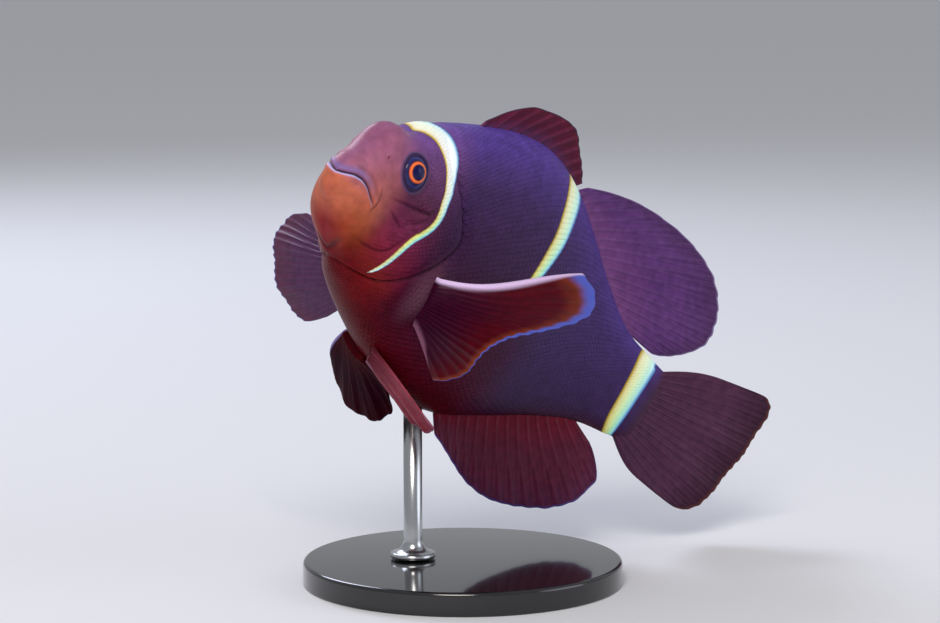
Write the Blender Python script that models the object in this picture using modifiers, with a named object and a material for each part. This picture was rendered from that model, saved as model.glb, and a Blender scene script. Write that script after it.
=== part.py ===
"""A life-size maroon clownfish (Premnas biaculeatus), a big adult female, held by a plain display stand.

The fish is first described straight: x runs back along its spine, y to its right and z up, all in
standard lengths, from the snout to the end of the tail stalk. A point there is bent along the spine,
turned into the swimming pose and set over the stand. The row frame has +Z up, the fish heads towards -X
and its left flank faces -Y. The origin is the middle of the underside of the stand's base.
"""
import math

import bmesh
import bpy
import numpy as np
from mathutils import Matrix, Vector

# ---- driving dimensions, in metres and degrees -------------------------------------------------
STANDARD_LENGTH = 0.115  # snout to the end of the tail stalk
GAP = 0.0003  # left between neighbours
HEAD_TURN = 25.3  # the head turns this far to its left
TAIL_TURN = 12.6  # the tail swings this far to the left
NOSE_UP = 32.1
LEAN = 13.2  # the back leans towards the left flank's side
SPINE_PIVOT = 0.45  # the point of the spine that the pose turns about; the trunk bends before and behind it
TAIL_BEND_LENGTH = 0.6  # the tail's swing builds up over this stretch, in standard lengths
PIVOT_PLACE = (-0.0015, 0.0012, 0.0680)  # where that point is, over the base

EYE_RADIUS = 0.0035
EYE_FLATNESS = 0.8  # the eyeball's half-depth, as a share of its radius
EYE_DEPTH = 0.0016  # how far the eyeball's middle lies under the brow
EYE_AT = (0.147, 63.5)  # along the spine, and down from the crown

MEDIAN_FIN_THICKNESS = 0.0008
PAIRED_FIN_THICKNESS = 0.0007
PAIRED_ROOT_CLEARANCE = 0.0007  # a spread fin's thick root stays this far off the flank

GILL_THICKNESS = 0.0012
MOUTH_OPENING = 0.0008

BASE_RADIUS = 0.034
BASE_HEIGHT = 0.005
BASE_BEVEL = 0.0008
ROD_RADIUS = 0.0020
ROD_FOOT_RADIUS = 0.0048
ROD_FOOT_HEIGHT = 0.0024
ROD_AT = 0.548  # where on the belly the rod ends
ROD_STEPS = 24
ROD_CUTTER = 0.02  # side of the block that cuts its top

# ---- the straight body: along the spine, back, belly and half-width, in standard lengths -------
BODY_STATIONS = (
    (0.00, 0.024, -0.058, 0.029),
    (0.03, 0.040, -0.070, 0.037),
    (0.08, 0.092, -0.100, 0.050),
    (0.15, 0.143, -0.138, 0.067),
    (0.22, 0.176, -0.172, 0.085),
    (0.30, 0.217, -0.204, 0.097),
    (0.40, 0.262, -0.238, 0.102),
    (0.50, 0.280, -0.258, 0.096),
    (0.60, 0.260, -0.243, 0.082),
    (0.70, 0.212, -0.196, 0.062),
    (0.80, 0.153, -0.143, 0.043),
    (0.90, 0.104, -0.100, 0.028),
    (1.00, 0.086, -0.082, 0.016),
)
SNOUT_LENGTH = 0.05  # the stretch that closes as a quarter ellipse
FLANK_FULLNESS = (1.05, 0.9)  # of the snout and of the trunk; under 1 is fuller than an ellipse
FULL_FROM = 0.25  # where along the spine the trunk's fullness is reached
STALK_START = 0.80
STALK_END = 0.995

# The free edge of the gill covers, from the nape (0 degrees) to the throat (180 degrees)
GILL_EDGE = (
    (0, 0.235), (40, 0.235), (60, 0.262), (75, 0.305), (88, 0.335), (100, 0.318),
    (112, 0.290), (130, 0.240), (150, 0.178), (165, 0.150), (180, 0.139),
)
NECK_MIDDLE = 0.345  # where the head's flat of the neck meets the spine
GILL_COVER_SPAN = (62.0, 128.0)  # degrees from the crown
GILL_COVER_LENGTH = ((0.0, 0.045), (0.25, 0.080), (0.6, 0.095), (0.85, 0.075), (1.0, 0.050))
GILL_COVER_REAR = 0.003  # its rear edge lies this far ahead of the gill edge
GILL_STEP = 0.0045  # how far the shoulder drops behind the gill cover, in standard lengths
GILL_STEP_SPAN = (45.0, 186.0)  # degrees from the crown between which it drops
SHOULDER_LENGTH = 0.045  # behind the gill edge, until the shoulder is level again

# Humps on the plain body: height, where along the spine and how far to each side, and, but for the
# lips, the degrees from the crown and how far to each side of them
LIPS = (0.0035, 0.016, 0.018)
JOWLS = (0.015, 0.085, 0.075, 128.0, 55.0)  # the full cheeks and jaws beside the mouth
ORBIT = (0.007, 0.147, 0.050, 63.5, 34.0)  # the raised rim round the eye
PECTORAL_LOBE = (0.010, 0.345, 0.055, 117.0, 24.0)  # the fleshy root of the pectoral fin

MOUTH_LINE = ((-0.030, -0.003), (0.095, -0.029))  # from the lips to the corner of the jaw
THROAT_CUT = (0.135, -0.170)  # where the lower jaw ends below


def curve_at(points, at):
    """The smooth curve through (place, value) points, read at one place or at many."""
    places, values = np.array(points, float).T
    slopes = np.gradient(values, places)
    at = np.clip(at, places[0], places[-1])
    i = np.clip(np.searchsorted(places, at, side="right") - 1, 0, len(places) - 2)
    step = places[i + 1] - places[i]
    t = (at - places[i]) / step
    start = (2 * t**3 - 3 * t**2 + 1) * values[i] + (t**3 - 2 * t**2 + t) * step * slopes[i]
    end = (3 * t**2 - 2 * t**3) * values[i + 1] + (t**3 - t**2) * step * slopes[i + 1]
    return start + end


def ease(t):
    """From 0 to 1 with level ends."""
    t = min(max(t, 0.0), 1.0)
    return t * t * (3 - 2 * t)


def hump(distance, reach):
    """A round hump: 1 at no distance, 0 from the reach on."""
    return ease(1 - abs(distance) / reach)


# ---- the pose ----------------------------------------------------------------------------------
def spine_table():
    """Heading and place along the bent spine, at even steps."""
    places = np.linspace(-0.2, 1.6, 901)
    head = [math.radians(HEAD_TURN) * (1 - ease(x / SPINE_PIVOT)) for x in places]
    tail = [math.radians(TAIL_TURN) * ease((x - SPINE_PIVOT) / TAIL_BEND_LENGTH) for x in places]
    heading = np.array(head) - np.array(tail)
    step = places[1] - places[0]
    along, across = np.cumsum(np.cos(heading)) * step, np.cumsum(np.sin(heading)) * step
    pivot = np.argmin(abs(places - SPINE_PIVOT))
    return places, heading, along - along[pivot], across - across[pivot]


SPINE = spine_table()
POSE = Matrix.Rotation(math.radians(NOSE_UP), 3, "Y") @ Matrix.Rotation(math.radians(LEAN), 3, "X")


def posed(point):
    """A point of the straight fish, in standard lengths, as a place in the row frame."""
    places, heading, along, across = SPINE
    x, y, z = point
    turn = float(np.interp(x, places, heading))
    x, y = (
        float(np.interp(x, places, along)) - y * math.sin(turn),
        float(np.interp(x, places, across)) + y * math.cos(turn),
    )
    return POSE @ Vector((x, y, z)) * STANDARD_LENGTH + Vector(PIVOT_PLACE)


# ---- the straight body's surface ---------------------------------------------------------------
def gill_edge(angle):
    """How far back the gill cover reaches at an angle from the crown, in degrees, on either side."""
    return float(curve_at(GILL_EDGE, abs(angle)))


def section(x):
    """Back, belly and half-width of the body at x."""
    places = [row[0] for row in BODY_STATIONS]
    back, belly, half = (
        float(curve_at(list(zip(places, [row[i] for row in BODY_STATIONS])), x)) for i in (1, 2, 3)
    )
    t = min(max(x / SNOUT_LENGTH, 0.0), 1.0)
    close = math.sqrt(1 - (1 - t) ** 2)
    middle = (back + belly) / 2
    return middle + (back - middle) * close, middle + (belly - middle) * close, half * close


def gill_step(angle):
    """How far the shoulder lies under the gill cover's edge there: nothing over the nape."""
    first, last = GILL_STEP_SPAN
    return GILL_STEP * ease((abs(angle) - first) / 25) * ease((last - abs(angle)) / 20)


def mound(shape, x, angle):
    """A round mound on each side of the body."""
    height, middle, reach, degrees, spread = shape
    return height * hump(math.hypot((x - middle) / reach, (abs(angle) - degrees) / spread), 1.0)


def relief(x, angle):
    """What stands proud of the plain section: lips, jowls, eye rims, shoulder step, pectoral lobes."""
    height, middle, reach = LIPS
    lips = height * hump(x - middle, reach)
    behind = x - gill_edge(angle)
    shoulder = -gill_step(angle) * ease(1 - behind / SHOULDER_LENGTH) if behind > 0 else 0.0
    return lips + shoulder + sum(mound(shape, x, angle) for shape in (JOWLS, ORBIT, PECTORAL_LOBE))


def plain_point(x, angle, proud=0.0):
    """A point of the plain body, or one proud of it; angles count from the crown, left positive."""
    back, belly, half = section(x)
    turn = math.radians(angle)
    snout, trunk = FLANK_FULLNESS
    fullness = snout + (trunk - snout) * ease(x / FULL_FROM)
    across = math.copysign(abs(math.sin(turn)) ** fullness, math.sin(turn))
    z = (back + belly) / 2 + ((back - belly) / 2 + proud) * math.cos(turn)
    return Vector((x, -(half + proud) * across, z))


def body_point(x, angle):
    """A point of the straight body with its relief."""
    return plain_point(x, angle, relief(x, angle))


def outward(x, angle):
    """The plain body's outward normal there, in the straight fish."""
    along = plain_point(x + 0.004, angle) - plain_point(x - 0.004, angle)
    around = plain_point(x, angle + 1) - plain_point(x, angle - 1)
    return around.cross(along).normalized()


def off_body(x, angle, distance):
    """A point at a distance in metres off the straight body's surface."""
    return body_point(x, angle) + outward(x, angle) * (distance / STANDARD_LENGTH)


# ---- making objects ----------------------------------------------------------------------------
def clear_scene():
    for thing in list(bpy.data.objects):
        bpy.data.objects.remove(thing, do_unlink=True)


def collection(name):
    found = bpy.data.collections.new(name)
    bpy.context.scene.collection.children.link(found)
    return found


def material(name, colour, roughness, metallic=0.0):
    made = bpy.data.materials.new(name)
    made.use_nodes = True
    shader = made.node_tree.nodes["Principled BSDF"]
    shader.inputs["Base Color"].default_value = (*colour, 1.0)
    shader.inputs["Roughness"].default_value = roughness
    shader.inputs["Metallic"].default_value = metallic
    return made


def add_object(name, shape, finish, home):
    """An object of a bmesh, smooth but for its sharp edges."""
    shape.normal_update()
    bmesh.ops.recalc_face_normals(shape, faces=shape.faces)
    mesh = bpy.data.meshes.new(name)
    shape.to_mesh(mesh)
    shape.free()
    mesh.shade_smooth()
    mesh.set_sharp_from_angle(angle=math.radians(40))
    mesh.materials.append(finish)
    made = bpy.data.objects.new(name, mesh)
    home.objects.link(made)
    return made


def add_cutter(name, shape, home):
    """A cutter, kept out of renders."""
    made = add_object(name, shape, material(name, (0.5, 0.5, 0.5), 0.8), home)
    made.hide_render = True
    made.display_type = "WIRE"
    return made


def boolean(piece, cutter, operation="DIFFERENCE"):
    change = piece.modifiers.new(operation.lower(), "BOOLEAN")
    change.operation = operation
    change.solver = "EXACT"
    change.object = cutter


def ball_between(rows, segments, point):
    """A closed shape from a ball: point(row, angle) gives each vertex, from pole 0 to pole rows."""
    shape = bmesh.new()
    bmesh.ops.create_uvsphere(shape, u_segments=segments, v_segments=rows, radius=1.0)
    for vertex in shape.verts:
        row = round(math.acos(max(-1.0, min(1.0, vertex.co.z))) / math.pi * rows)
        angle = math.degrees(math.atan2(vertex.co.y, vertex.co.x))
        vertex.co = posed(point(row, angle))
    return shape


# ---- head, trunk and tail stalk ----------------------------------------------------------------
AROUND = 40  # points round the head and trunk
AROUND_STALK = 26
HEAD_ROWS = 20
CAP_ROWS = 3
TRUNK_ROWS = 16
STALK_ROWS = 6


def toward(point, middle, share):
    return point + (middle - point) * share


def neck_point(angle, share):
    """The surface that parts head and trunk, from the gill edge (share 0) in to the spine."""
    return toward(body_point(gill_edge(angle), angle), Vector((NECK_MIDDLE, 0, 0)), share)


def head_point(row, angle):
    """Rows 0 to HEAD_ROWS cover the head, and the rest close it at the gill edge."""
    if row <= HEAD_ROWS:
        return body_point(gill_edge(angle) * (row / HEAD_ROWS) ** 1.5, angle)
    return neck_point(angle, (row - HEAD_ROWS) / CAP_ROWS)


def trunk_point(row, angle):
    """The trunk starts a gap behind the head and ends at the tail stalk."""
    gap = Vector((GAP / STANDARD_LENGTH, 0, 0))
    if row < CAP_ROWS:
        return neck_point(angle, 1 - row / CAP_ROWS) + gap
    done = row - CAP_ROWS
    if done == 0:
        rim = neck_point(angle, 0)
        return toward(rim, Vector((NECK_MIDDLE, 0, 0)), gill_step(angle) / rim.yz.length) + gap
    if done <= TRUNK_ROWS:
        edge = gill_edge(angle)
        return body_point(edge + (STALK_START - edge) * done / TRUNK_ROWS, angle)
    return Vector((STALK_START, 0, 0))


def stalk_point(row, angle):
    """The tail stalk, flat in front and rounded off under the tail fin."""
    start = STALK_START + GAP / STANDARD_LENGTH
    if row == 0:
        return Vector((start, 0, 0))
    if row <= STALK_ROWS:
        return body_point(start + (STALK_END - start) * (row - 1) / (STALK_ROWS - 1), angle)
    return Vector((STALK_END, 0, 0))


def build_flesh(home):
    head = add_object(
        "head", ball_between(HEAD_ROWS + CAP_ROWS, AROUND, head_point),
        material("head_skin", (0.30, 0.055, 0.030), 0.42), home,
    )
    add_object(
        "trunk", ball_between(CAP_ROWS + TRUNK_ROWS + 1, AROUND, trunk_point),
        material("trunk_skin", (0.085, 0.020, 0.045), 0.42), home,
    )
    add_object(
        "tail_stalk", ball_between(STALK_ROWS + 1, AROUND_STALK, stalk_point),
        material("tail_stalk_skin", (0.070, 0.018, 0.040), 0.42), home,
    )
    return head


# ---- lower jaw ---------------------------------------------------------------------------------
JAW_WEDGE_HALF = 0.16  # the wedge's half-width, past both cheeks


def jaw_wedge(grow, opening):
    """The wedge across the head that holds the lower jaw; the cutter's is grown by the gap."""
    (front, lip), (corner_x, corner_z) = MOUTH_LINE
    grow, opening = grow / STANDARD_LENGTH, opening / STANDARD_LENGTH
    profile = (
        (front - grow, lip + grow + opening),
        (corner_x + grow, corner_z + grow),
        (THROAT_CUT[0] + grow, THROAT_CUT[1] - grow),
        (front - grow, THROAT_CUT[1] - grow),
    )
    shape = bmesh.new()
    ring = [shape.verts.new((x, -JAW_WEDGE_HALF, z)) for x, z in profile]
    face = shape.faces.new(ring)
    sides = bmesh.ops.extrude_face_region(shape, geom=[face])["geom"]
    moved = [part for part in sides if isinstance(part, bmesh.types.BMVert)]
    bmesh.ops.translate(shape, verts=moved, vec=(0, 2 * JAW_WEDGE_HALF, 0))
    for vertex in shape.verts:
        vertex.co = posed(vertex.co)
    return shape


def build_jaw(head, home, cutters):
    jaw = add_object(
        "lower_jaw", ball_between(HEAD_ROWS + CAP_ROWS, AROUND, head_point),
        material("jaw_skin", (0.42, 0.10, 0.030), 0.42), home,
    )
    boolean(jaw, add_cutter("jaw_keep", jaw_wedge(0.0, 0.0), cutters), "INTERSECT")
    boolean(head, add_cutter("jaw_cut", jaw_wedge(GAP, MOUTH_OPENING), cutters))
    return jaw


# ---- gill covers -------------------------------------------------------------------------------
CHEEK_RADIUS = 0.1  # about how far a gill cover lies from the spine, to turn a gap into degrees
RECESS_HEIGHT = 0.003  # the recess's cutter stands this far off the cheek, in metres


def gill_cover_shape(side, grow, top, bottom):
    """A plate that follows the cheek, between its front edge and the gill edge."""
    grow = grow / STANDARD_LENGTH
    degrees = math.degrees(grow / CHEEK_RADIUS)
    first, last = GILL_COVER_SPAN[0] - degrees, GILL_COVER_SPAN[1] + degrees
    shape = bmesh.new()
    bmesh.ops.create_grid(shape, x_segments=5, y_segments=10, size=1.0)
    for vertex in shape.verts:
        across, down = (vertex.co.x + 1) / 2, (vertex.co.y + 1) / 2
        angle = first + (last - first) * down
        front = gill_edge(angle) - float(curve_at(GILL_COVER_LENGTH, down)) - 1.2 * grow
        rear = gill_edge(angle) + (4 * grow if grow else -GILL_COVER_REAR)
        vertex.co = Vector((front + (rear - front) * across, side * angle, 0))
    plate = list(shape.faces)
    copy = bmesh.ops.duplicate(shape, geom=plate)["geom"]
    under = [part for part in copy if isinstance(part, bmesh.types.BMVert)]
    for vertex in shape.verts:
        depth = bottom if vertex in under else top
        vertex.co = posed(off_body(vertex.co.x, vertex.co.y, depth))
    rims = [edge for edge in shape.edges if edge.is_boundary]
    bmesh.ops.bridge_loops(shape, edges=rims)
    return shape


def build_gill_covers(head, home, cutters):
    for word, side in (("left", 1), ("right", -1)):
        add_object(
            f"gill_cover_{word}", gill_cover_shape(side, 0.0, 0.0001, -GILL_THICKNESS),
            material(f"gill_cover_{word}_skin", (0.20, 0.030, 0.040), 0.42), home,
        )
        recess = gill_cover_shape(side, GAP, RECESS_HEIGHT, -GILL_THICKNESS - GAP)
        boolean(head, add_cutter(f"gill_recess_{word}", recess, cutters))


# ---- eyes --------------------------------------------------------------------------------------
def eye_frame(side):
    """Where the eyeball's middle is and which way it looks."""
    x, angle = EYE_AT
    middle = posed(off_body(x, side * angle, -EYE_DEPTH))
    outside = posed(off_body(x, side * angle, 0.002))
    return middle, (outside - middle).normalized()


def eye_shape(side, grow):
    """A flattened ball."""
    middle, look = eye_frame(side)
    radius, depth = EYE_RADIUS + grow, EYE_RADIUS * EYE_FLATNESS + grow
    shape = bmesh.new()
    bmesh.ops.create_uvsphere(shape, u_segments=20, v_segments=10, radius=radius)
    bmesh.ops.scale(shape, verts=shape.verts, vec=(1, 1, depth / radius))
    turn = look.to_track_quat("Z", "Y").to_matrix().to_4x4()
    bmesh.ops.transform(shape, matrix=Matrix.Translation(middle) @ turn, verts=shape.verts)
    return shape


def build_eyes(head, home, cutters):
    for word, side in (("left", 1), ("right", -1)):
        add_object(
            f"eye_{word}", eye_shape(side, 0.0),
            material(f"eye_{word}_glass", (0.02, 0.02, 0.04), 0.08), home,
        )
        socket = eye_shape(side, GAP)
        boolean(head, add_cutter(f"eye_socket_{word}", socket, cutters))


# ---- fins --------------------------------------------------------------------------------------
def fin_sheet(name, rays, steps, point, thickness, finish, home):
    """A sheet of rays: point(u, v) runs over the rays and out along each, then gets its thickness."""
    shape = bmesh.new()
    bmesh.ops.create_grid(shape, x_segments=rays, y_segments=steps, size=1.0)
    for vertex in shape.verts:
        vertex.co = posed(point((vertex.co.x + 1) / 2, (vertex.co.y + 1) / 2))
    fin = add_object(name, shape, finish, home)
    solid = fin.modifiers.new("thickness", "SOLIDIFY")
    solid.thickness = thickness
    solid.offset = 0.0
    return fin


def scalloped(u):
    """The spiny fin's membrane dips between its spines."""
    return 1 - SCALLOP * (1 - abs(math.cos(math.pi * u * SPINY_RAYS)))


# Of each median fin: first and last place on the back or belly, then angles above the spine's line
# and lengths of the rays, both from the first ray to the last
SPINY_DORSAL = dict(
    start=0.325, end=0.604, above=True,
    angles=((0, 66), (0.15, 57), (0.5, 47), (0.8, 43), (1, 45)),
    lengths=(
        (0, 0.012), (0.06, 0.045), (0.13, 0.079), (0.25, 0.092), (0.5, 0.091), (0.75, 0.054), (1, 0.020),
    ),
)
SOFT_DORSAL = dict(
    start=0.615, end=0.915, above=True,
    angles=((0, 42), (0.25, 29), (0.5, 18), (0.75, 7), (1, -4)),
    lengths=(
        (0, 0.030), (0.07, 0.088), (0.15, 0.150), (0.3, 0.243), (0.5, 0.293), (0.7, 0.252),
        (0.85, 0.160), (1, 0.060),
    ),
)
ANAL = dict(
    start=0.60, end=0.905, above=False,
    angles=((0, -45), (0.15, -53), (0.3, -54), (0.5, -49), (0.7, -39), (0.85, -30), (1, -18)),
    lengths=(
        (0, 0.045), (0.15, 0.093), (0.3, 0.145), (0.5, 0.182), (0.7, 0.192), (0.85, 0.160), (1, 0.085),
    ),
)
CAUDAL_ROOT = (-0.082, 0.068)  # lowest and highest place of its root
CAUDAL_START = 1.0
CAUDAL_ANGLES = ((-1, -15), (-0.5, -5), (0, 3.5), (0.5, 11), (1, 22))
CAUDAL_LENGTHS = (
    (-1, 0.195), (-0.85, 0.230), (-0.5, 0.255), (0, 0.274), (0.5, 0.290), (0.85, 0.298), (1, 0.250),
)
SPINY_RAYS = 10  # spines of the dorsal fin
SCALLOP = 0.12  # how deep its membrane dips between them, as a share of their length
ROOT_CLEARANCE = GAP + 0.0001  # between a median fin's root and the back or belly


def median_point(fin, u, v, edge=1.0):
    """A point of a fin on the fish's middle plane."""
    x = fin["start"] + (fin["end"] - fin["start"]) * u
    back, belly, _ = section(x)
    clear = ROOT_CLEARANCE / STANDARD_LENGTH
    z = back + clear if fin["above"] else belly - clear
    slope = math.radians(float(curve_at(fin["angles"], u)))
    reach = float(curve_at(fin["lengths"], u)) * (1 - (1 - edge) * v)
    return Vector((x + reach * v * math.cos(slope), 0, z + reach * v * math.sin(slope)))


def caudal_point(u, v):
    """A point of the tail fin: its rays fan out from the stalk's end."""
    low, high = CAUDAL_ROOT
    t = 2 * u - 1
    slope = math.radians(float(curve_at(CAUDAL_ANGLES, t)))
    reach = float(curve_at(CAUDAL_LENGTHS, t)) * v
    z = low + (high - low) * u + reach * math.sin(slope)
    return Vector((CAUDAL_START + reach * math.cos(slope), 0, z))


def build_median_fins(home):
    red = material("dorsal_membrane", (0.16, 0.020, 0.030), 0.5)
    plum = material("soft_dorsal_membrane", (0.13, 0.020, 0.055), 0.5)
    rust = material("anal_membrane", (0.20, 0.022, 0.020), 0.5)
    maroon = material("tail_membrane", (0.09, 0.010, 0.020), 0.5)
    thick = MEDIAN_FIN_THICKNESS

    def spiny(u, v):
        return median_point(SPINY_DORSAL, u, v, scalloped(u))

    fin_sheet("dorsal_fin_spiny", 20, 4, spiny, thick, red, home)
    fin_sheet("dorsal_fin_soft", 16, 5, lambda u, v: median_point(SOFT_DORSAL, u, v), thick, plum, home)
    fin_sheet("anal_fin", 14, 5, lambda u, v: median_point(ANAL, u, v), thick, rust, home)
    fin_sheet("tail_fin", 18, 5, caudal_point, thick, maroon, home)


# Of each paired fin: the first and last place of its root (along the spine, degrees from the crown),
# then the rays' directions (back, outwards, up) and lengths, from the first ray to the last
PECTORAL_ROOT = ((0.335, 108.0), (0.372, 131.0))
PECTORAL_LEFT = dict(
    root=PECTORAL_ROOT, wave=0.010,
    ways=(
        (0, 0.60, 0.66, 0.47), (0.15, 0.42, 0.85, 0.33), (0.3, 0.18, 0.96, 0.17), (0.5, -0.05, 1.0, 0.03),
        (0.7, -0.06, 0.985, -0.14), (0.85, 0.02, 0.94, -0.31), (1, 0.18, 0.80, -0.58),
    ),
    lengths=(
        (0, 0.265), (0.06, 0.285), (0.15, 0.287), (0.3, 0.245), (0.5, 0.205), (0.7, 0.182),
        (0.85, 0.168), (1, 0.14),
    ),
)
PECTORAL_RIGHT = dict(
    root=PECTORAL_ROOT, wave=0.010,
    ways=((0, 0.15, 0.99, 0.02), (0.5, 0.17, 0.97, -0.20), (1, 0.39, 0.84, -0.40)),
    lengths=(
        (0, 0.255), (0.06, 0.275), (0.15, 0.285), (0.3, 0.28), (0.5, 0.265), (0.7, 0.25),
        (0.85, 0.225), (1, 0.17),
    ),
)
PELVIC_ROOT = ((0.352, 158.0), (0.378, 174.0))
PELVIC_LEFT = dict(
    root=PELVIC_ROOT, wave=0.0,
    ways=((0, 0.86, 0.32, -0.39), (0.5, 0.94, 0.12, -0.31), (1, 0.965, -0.03, -0.25)),
    lengths=((0, 0.190), (0.15, 0.208), (0.4, 0.200), (0.7, 0.175), (1, 0.125)),
)
PELVIC_RIGHT = dict(
    root=PELVIC_ROOT, wave=0.0,
    ways=((0, 0.68, 0.60, -0.43), (0.4, 0.82, 0.36, -0.42), (1, 0.95, 0.16, -0.24)),
    lengths=((0, 0.160), (0.15, 0.185), (0.4, 0.210), (0.7, 0.205), (1, 0.165)),
)


def paired_point(fin, side, u, v):
    """A point of a fan of rays that spreads from a root on the flank."""
    (x0, angle0), (x1, angle1) = fin["root"]
    x, angle = x0 + (x1 - x0) * u, side * (angle0 + (angle1 - angle0) * u)
    root = off_body(x, angle, PAIRED_ROOT_CLEARANCE)
    back, out, up = (
        float(curve_at([(way[0], way[i]) for way in fin["ways"]], u)) for i in (1, 2, 3)
    )
    way = Vector((back, -side * out, up)).normalized()
    reach = float(curve_at(fin["lengths"], u)) * v
    sag = fin["wave"] * math.sin(2 * math.pi * v) * (1 - u) ** 2
    return root + way * reach - Vector((0, 0, sag))


def build_paired_fins(home):
    thick = PAIRED_FIN_THICKNESS
    for word, side, pectoral, pelvic in (
        ("left", 1, PECTORAL_LEFT, PELVIC_LEFT),
        ("right", -1, PECTORAL_RIGHT, PELVIC_RIGHT),
    ):
        wine = material(f"pectoral_{word}_membrane", (0.18, 0.012, 0.020), 0.5)
        dark = material(f"pelvic_{word}_membrane", (0.16, 0.010, 0.020), 0.5)
        fin_sheet(f"pectoral_fin_{word}", 14, 6,
                  lambda u, v, fin=pectoral, s=side: paired_point(fin, s, u, v), thick, wine, home)
        fin_sheet(f"pelvic_fin_{word}", 8, 6,
                  lambda u, v, fin=pelvic, s=side: paired_point(fin, s, u, v), thick, dark, home)


# ---- display stand -----------------------------------------------------------------------------
def build_base(home):
    shape = bmesh.new()
    bmesh.ops.create_cone(
        shape, cap_ends=True, segments=56, radius1=BASE_RADIUS, radius2=BASE_RADIUS, depth=BASE_HEIGHT
    )
    bmesh.ops.translate(shape, verts=shape.verts, vec=(0, 0, BASE_HEIGHT / 2))
    base = add_object("stand_base", shape, material("black_acrylic", (0.02, 0.02, 0.022), 0.25), home)
    bevel = base.modifiers.new("rounded rim", "BEVEL")
    bevel.width = BASE_BEVEL
    bevel.segments = 2
    return base


def rod_profile(top):
    """Half the outline of the rod and its foot, from the axis below to the axis at the top."""
    low = BASE_HEIGHT + GAP
    turns = (
        (0, low), (ROD_FOOT_RADIUS, low), (ROD_FOOT_RADIUS, low + ROD_FOOT_HEIGHT * 0.6),
        (ROD_FOOT_RADIUS * 0.8, low + ROD_FOOT_HEIGHT), (ROD_RADIUS, low + ROD_FOOT_HEIGHT * 1.6),
        (ROD_RADIUS, top), (0, top),
    )
    shape = bmesh.new()
    points = [shape.verts.new((radius, 0, z)) for radius, z in turns]
    for pair in zip(points, points[1:]):
        shape.edges.new(pair)
    return shape


def belly_block(touch, slope):
    """A block that stands for the belly over the rod, a gap nearer than the skin."""
    shape = bmesh.new()
    bmesh.ops.create_cube(shape, size=ROD_CUTTER)
    turn = slope.to_track_quat("Z", "Y").to_matrix().to_4x4()
    lift = Matrix.Translation((0, 0, ROD_CUTTER / 2 - 1.5 * GAP))
    bmesh.ops.transform(shape, matrix=Matrix.Translation(touch) @ turn @ lift, verts=shape.verts)
    return shape


def build_rod(home, cutters):
    """A turned rod with a small foot; its top is cut to the slope of the belly above it."""
    touch = posed(off_body(ROD_AT, 180, 0))
    ahead, beside = posed(off_body(ROD_AT + 0.02, 180, 0)), posed(off_body(ROD_AT, 175, 0))
    slope = (ahead - touch).cross(beside - touch).normalized()
    slope = slope if slope.z > 0 else -slope
    steel = material("stand_steel", (0.55, 0.56, 0.58), 0.3, 1.0)
    rod = add_object("stand_rod", rod_profile(touch.z + ROD_RADIUS), steel, home)
    rod.location = (touch.x, touch.y, 0)
    turned = rod.modifiers.new("turned", "SCREW")
    turned.steps = turned.render_steps = ROD_STEPS
    turned.use_merge_vertices = True
    turned.merge_threshold = 0.00001
    boolean(rod, add_cutter("rod_top_cut", belly_block(touch, slope), cutters))


def main():
    clear_scene()
    fish, cutters = collection("maroon_clownfish"), collection("cutters")
    head = build_flesh(fish)
    build_jaw(head, fish, cutters)
    build_gill_covers(head, fish, cutters)
    build_eyes(head, fish, cutters)
    build_median_fins(fish)
    build_paired_fins(fish)
    build_base(fish)
    build_rod(fish, cutters)


main()
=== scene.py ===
"""Looks of a life-size maroon clownfish model, held by a plain display stand.

The fish is first described straight, in standard lengths: x runs back along the spine, y to the fish's
right and z up. A place on its surface is (x, angle), with the angle in degrees down from the crown and
positive on the left flank. `Pose` bends a straight point along the spine and turns it into the swimming
pose, in metres in the frame of the solids. The skin follows the same named shape as those solids.
"""

import logging
import math
from collections.abc import Callable, Sequence
from dataclasses import dataclass
from enum import Enum

import bmesh
import bpy
import numpy as np
from mathutils import Matrix, Vector


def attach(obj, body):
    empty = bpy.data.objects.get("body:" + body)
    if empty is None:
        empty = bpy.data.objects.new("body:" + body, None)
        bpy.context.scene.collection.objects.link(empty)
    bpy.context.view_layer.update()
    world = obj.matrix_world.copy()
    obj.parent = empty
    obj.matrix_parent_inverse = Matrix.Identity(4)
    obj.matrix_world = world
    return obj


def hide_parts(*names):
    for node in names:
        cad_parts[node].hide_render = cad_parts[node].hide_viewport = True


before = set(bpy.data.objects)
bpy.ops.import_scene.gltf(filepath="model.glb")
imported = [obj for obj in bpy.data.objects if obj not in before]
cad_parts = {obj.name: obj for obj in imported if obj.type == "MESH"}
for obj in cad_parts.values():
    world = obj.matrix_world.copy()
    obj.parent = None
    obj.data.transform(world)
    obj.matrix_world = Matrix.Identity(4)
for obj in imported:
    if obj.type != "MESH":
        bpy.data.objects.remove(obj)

Table = Sequence[tuple[float, ...]]
LOG = logging.getLogger("clownfish")
MM = 0.001
SL = 0.115  # standard length, from the snout to the end of the tail stalk
FAR = 99.0  # millimetres: a distance past the reach of every fold and bar
TINY = 1e-6


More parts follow.
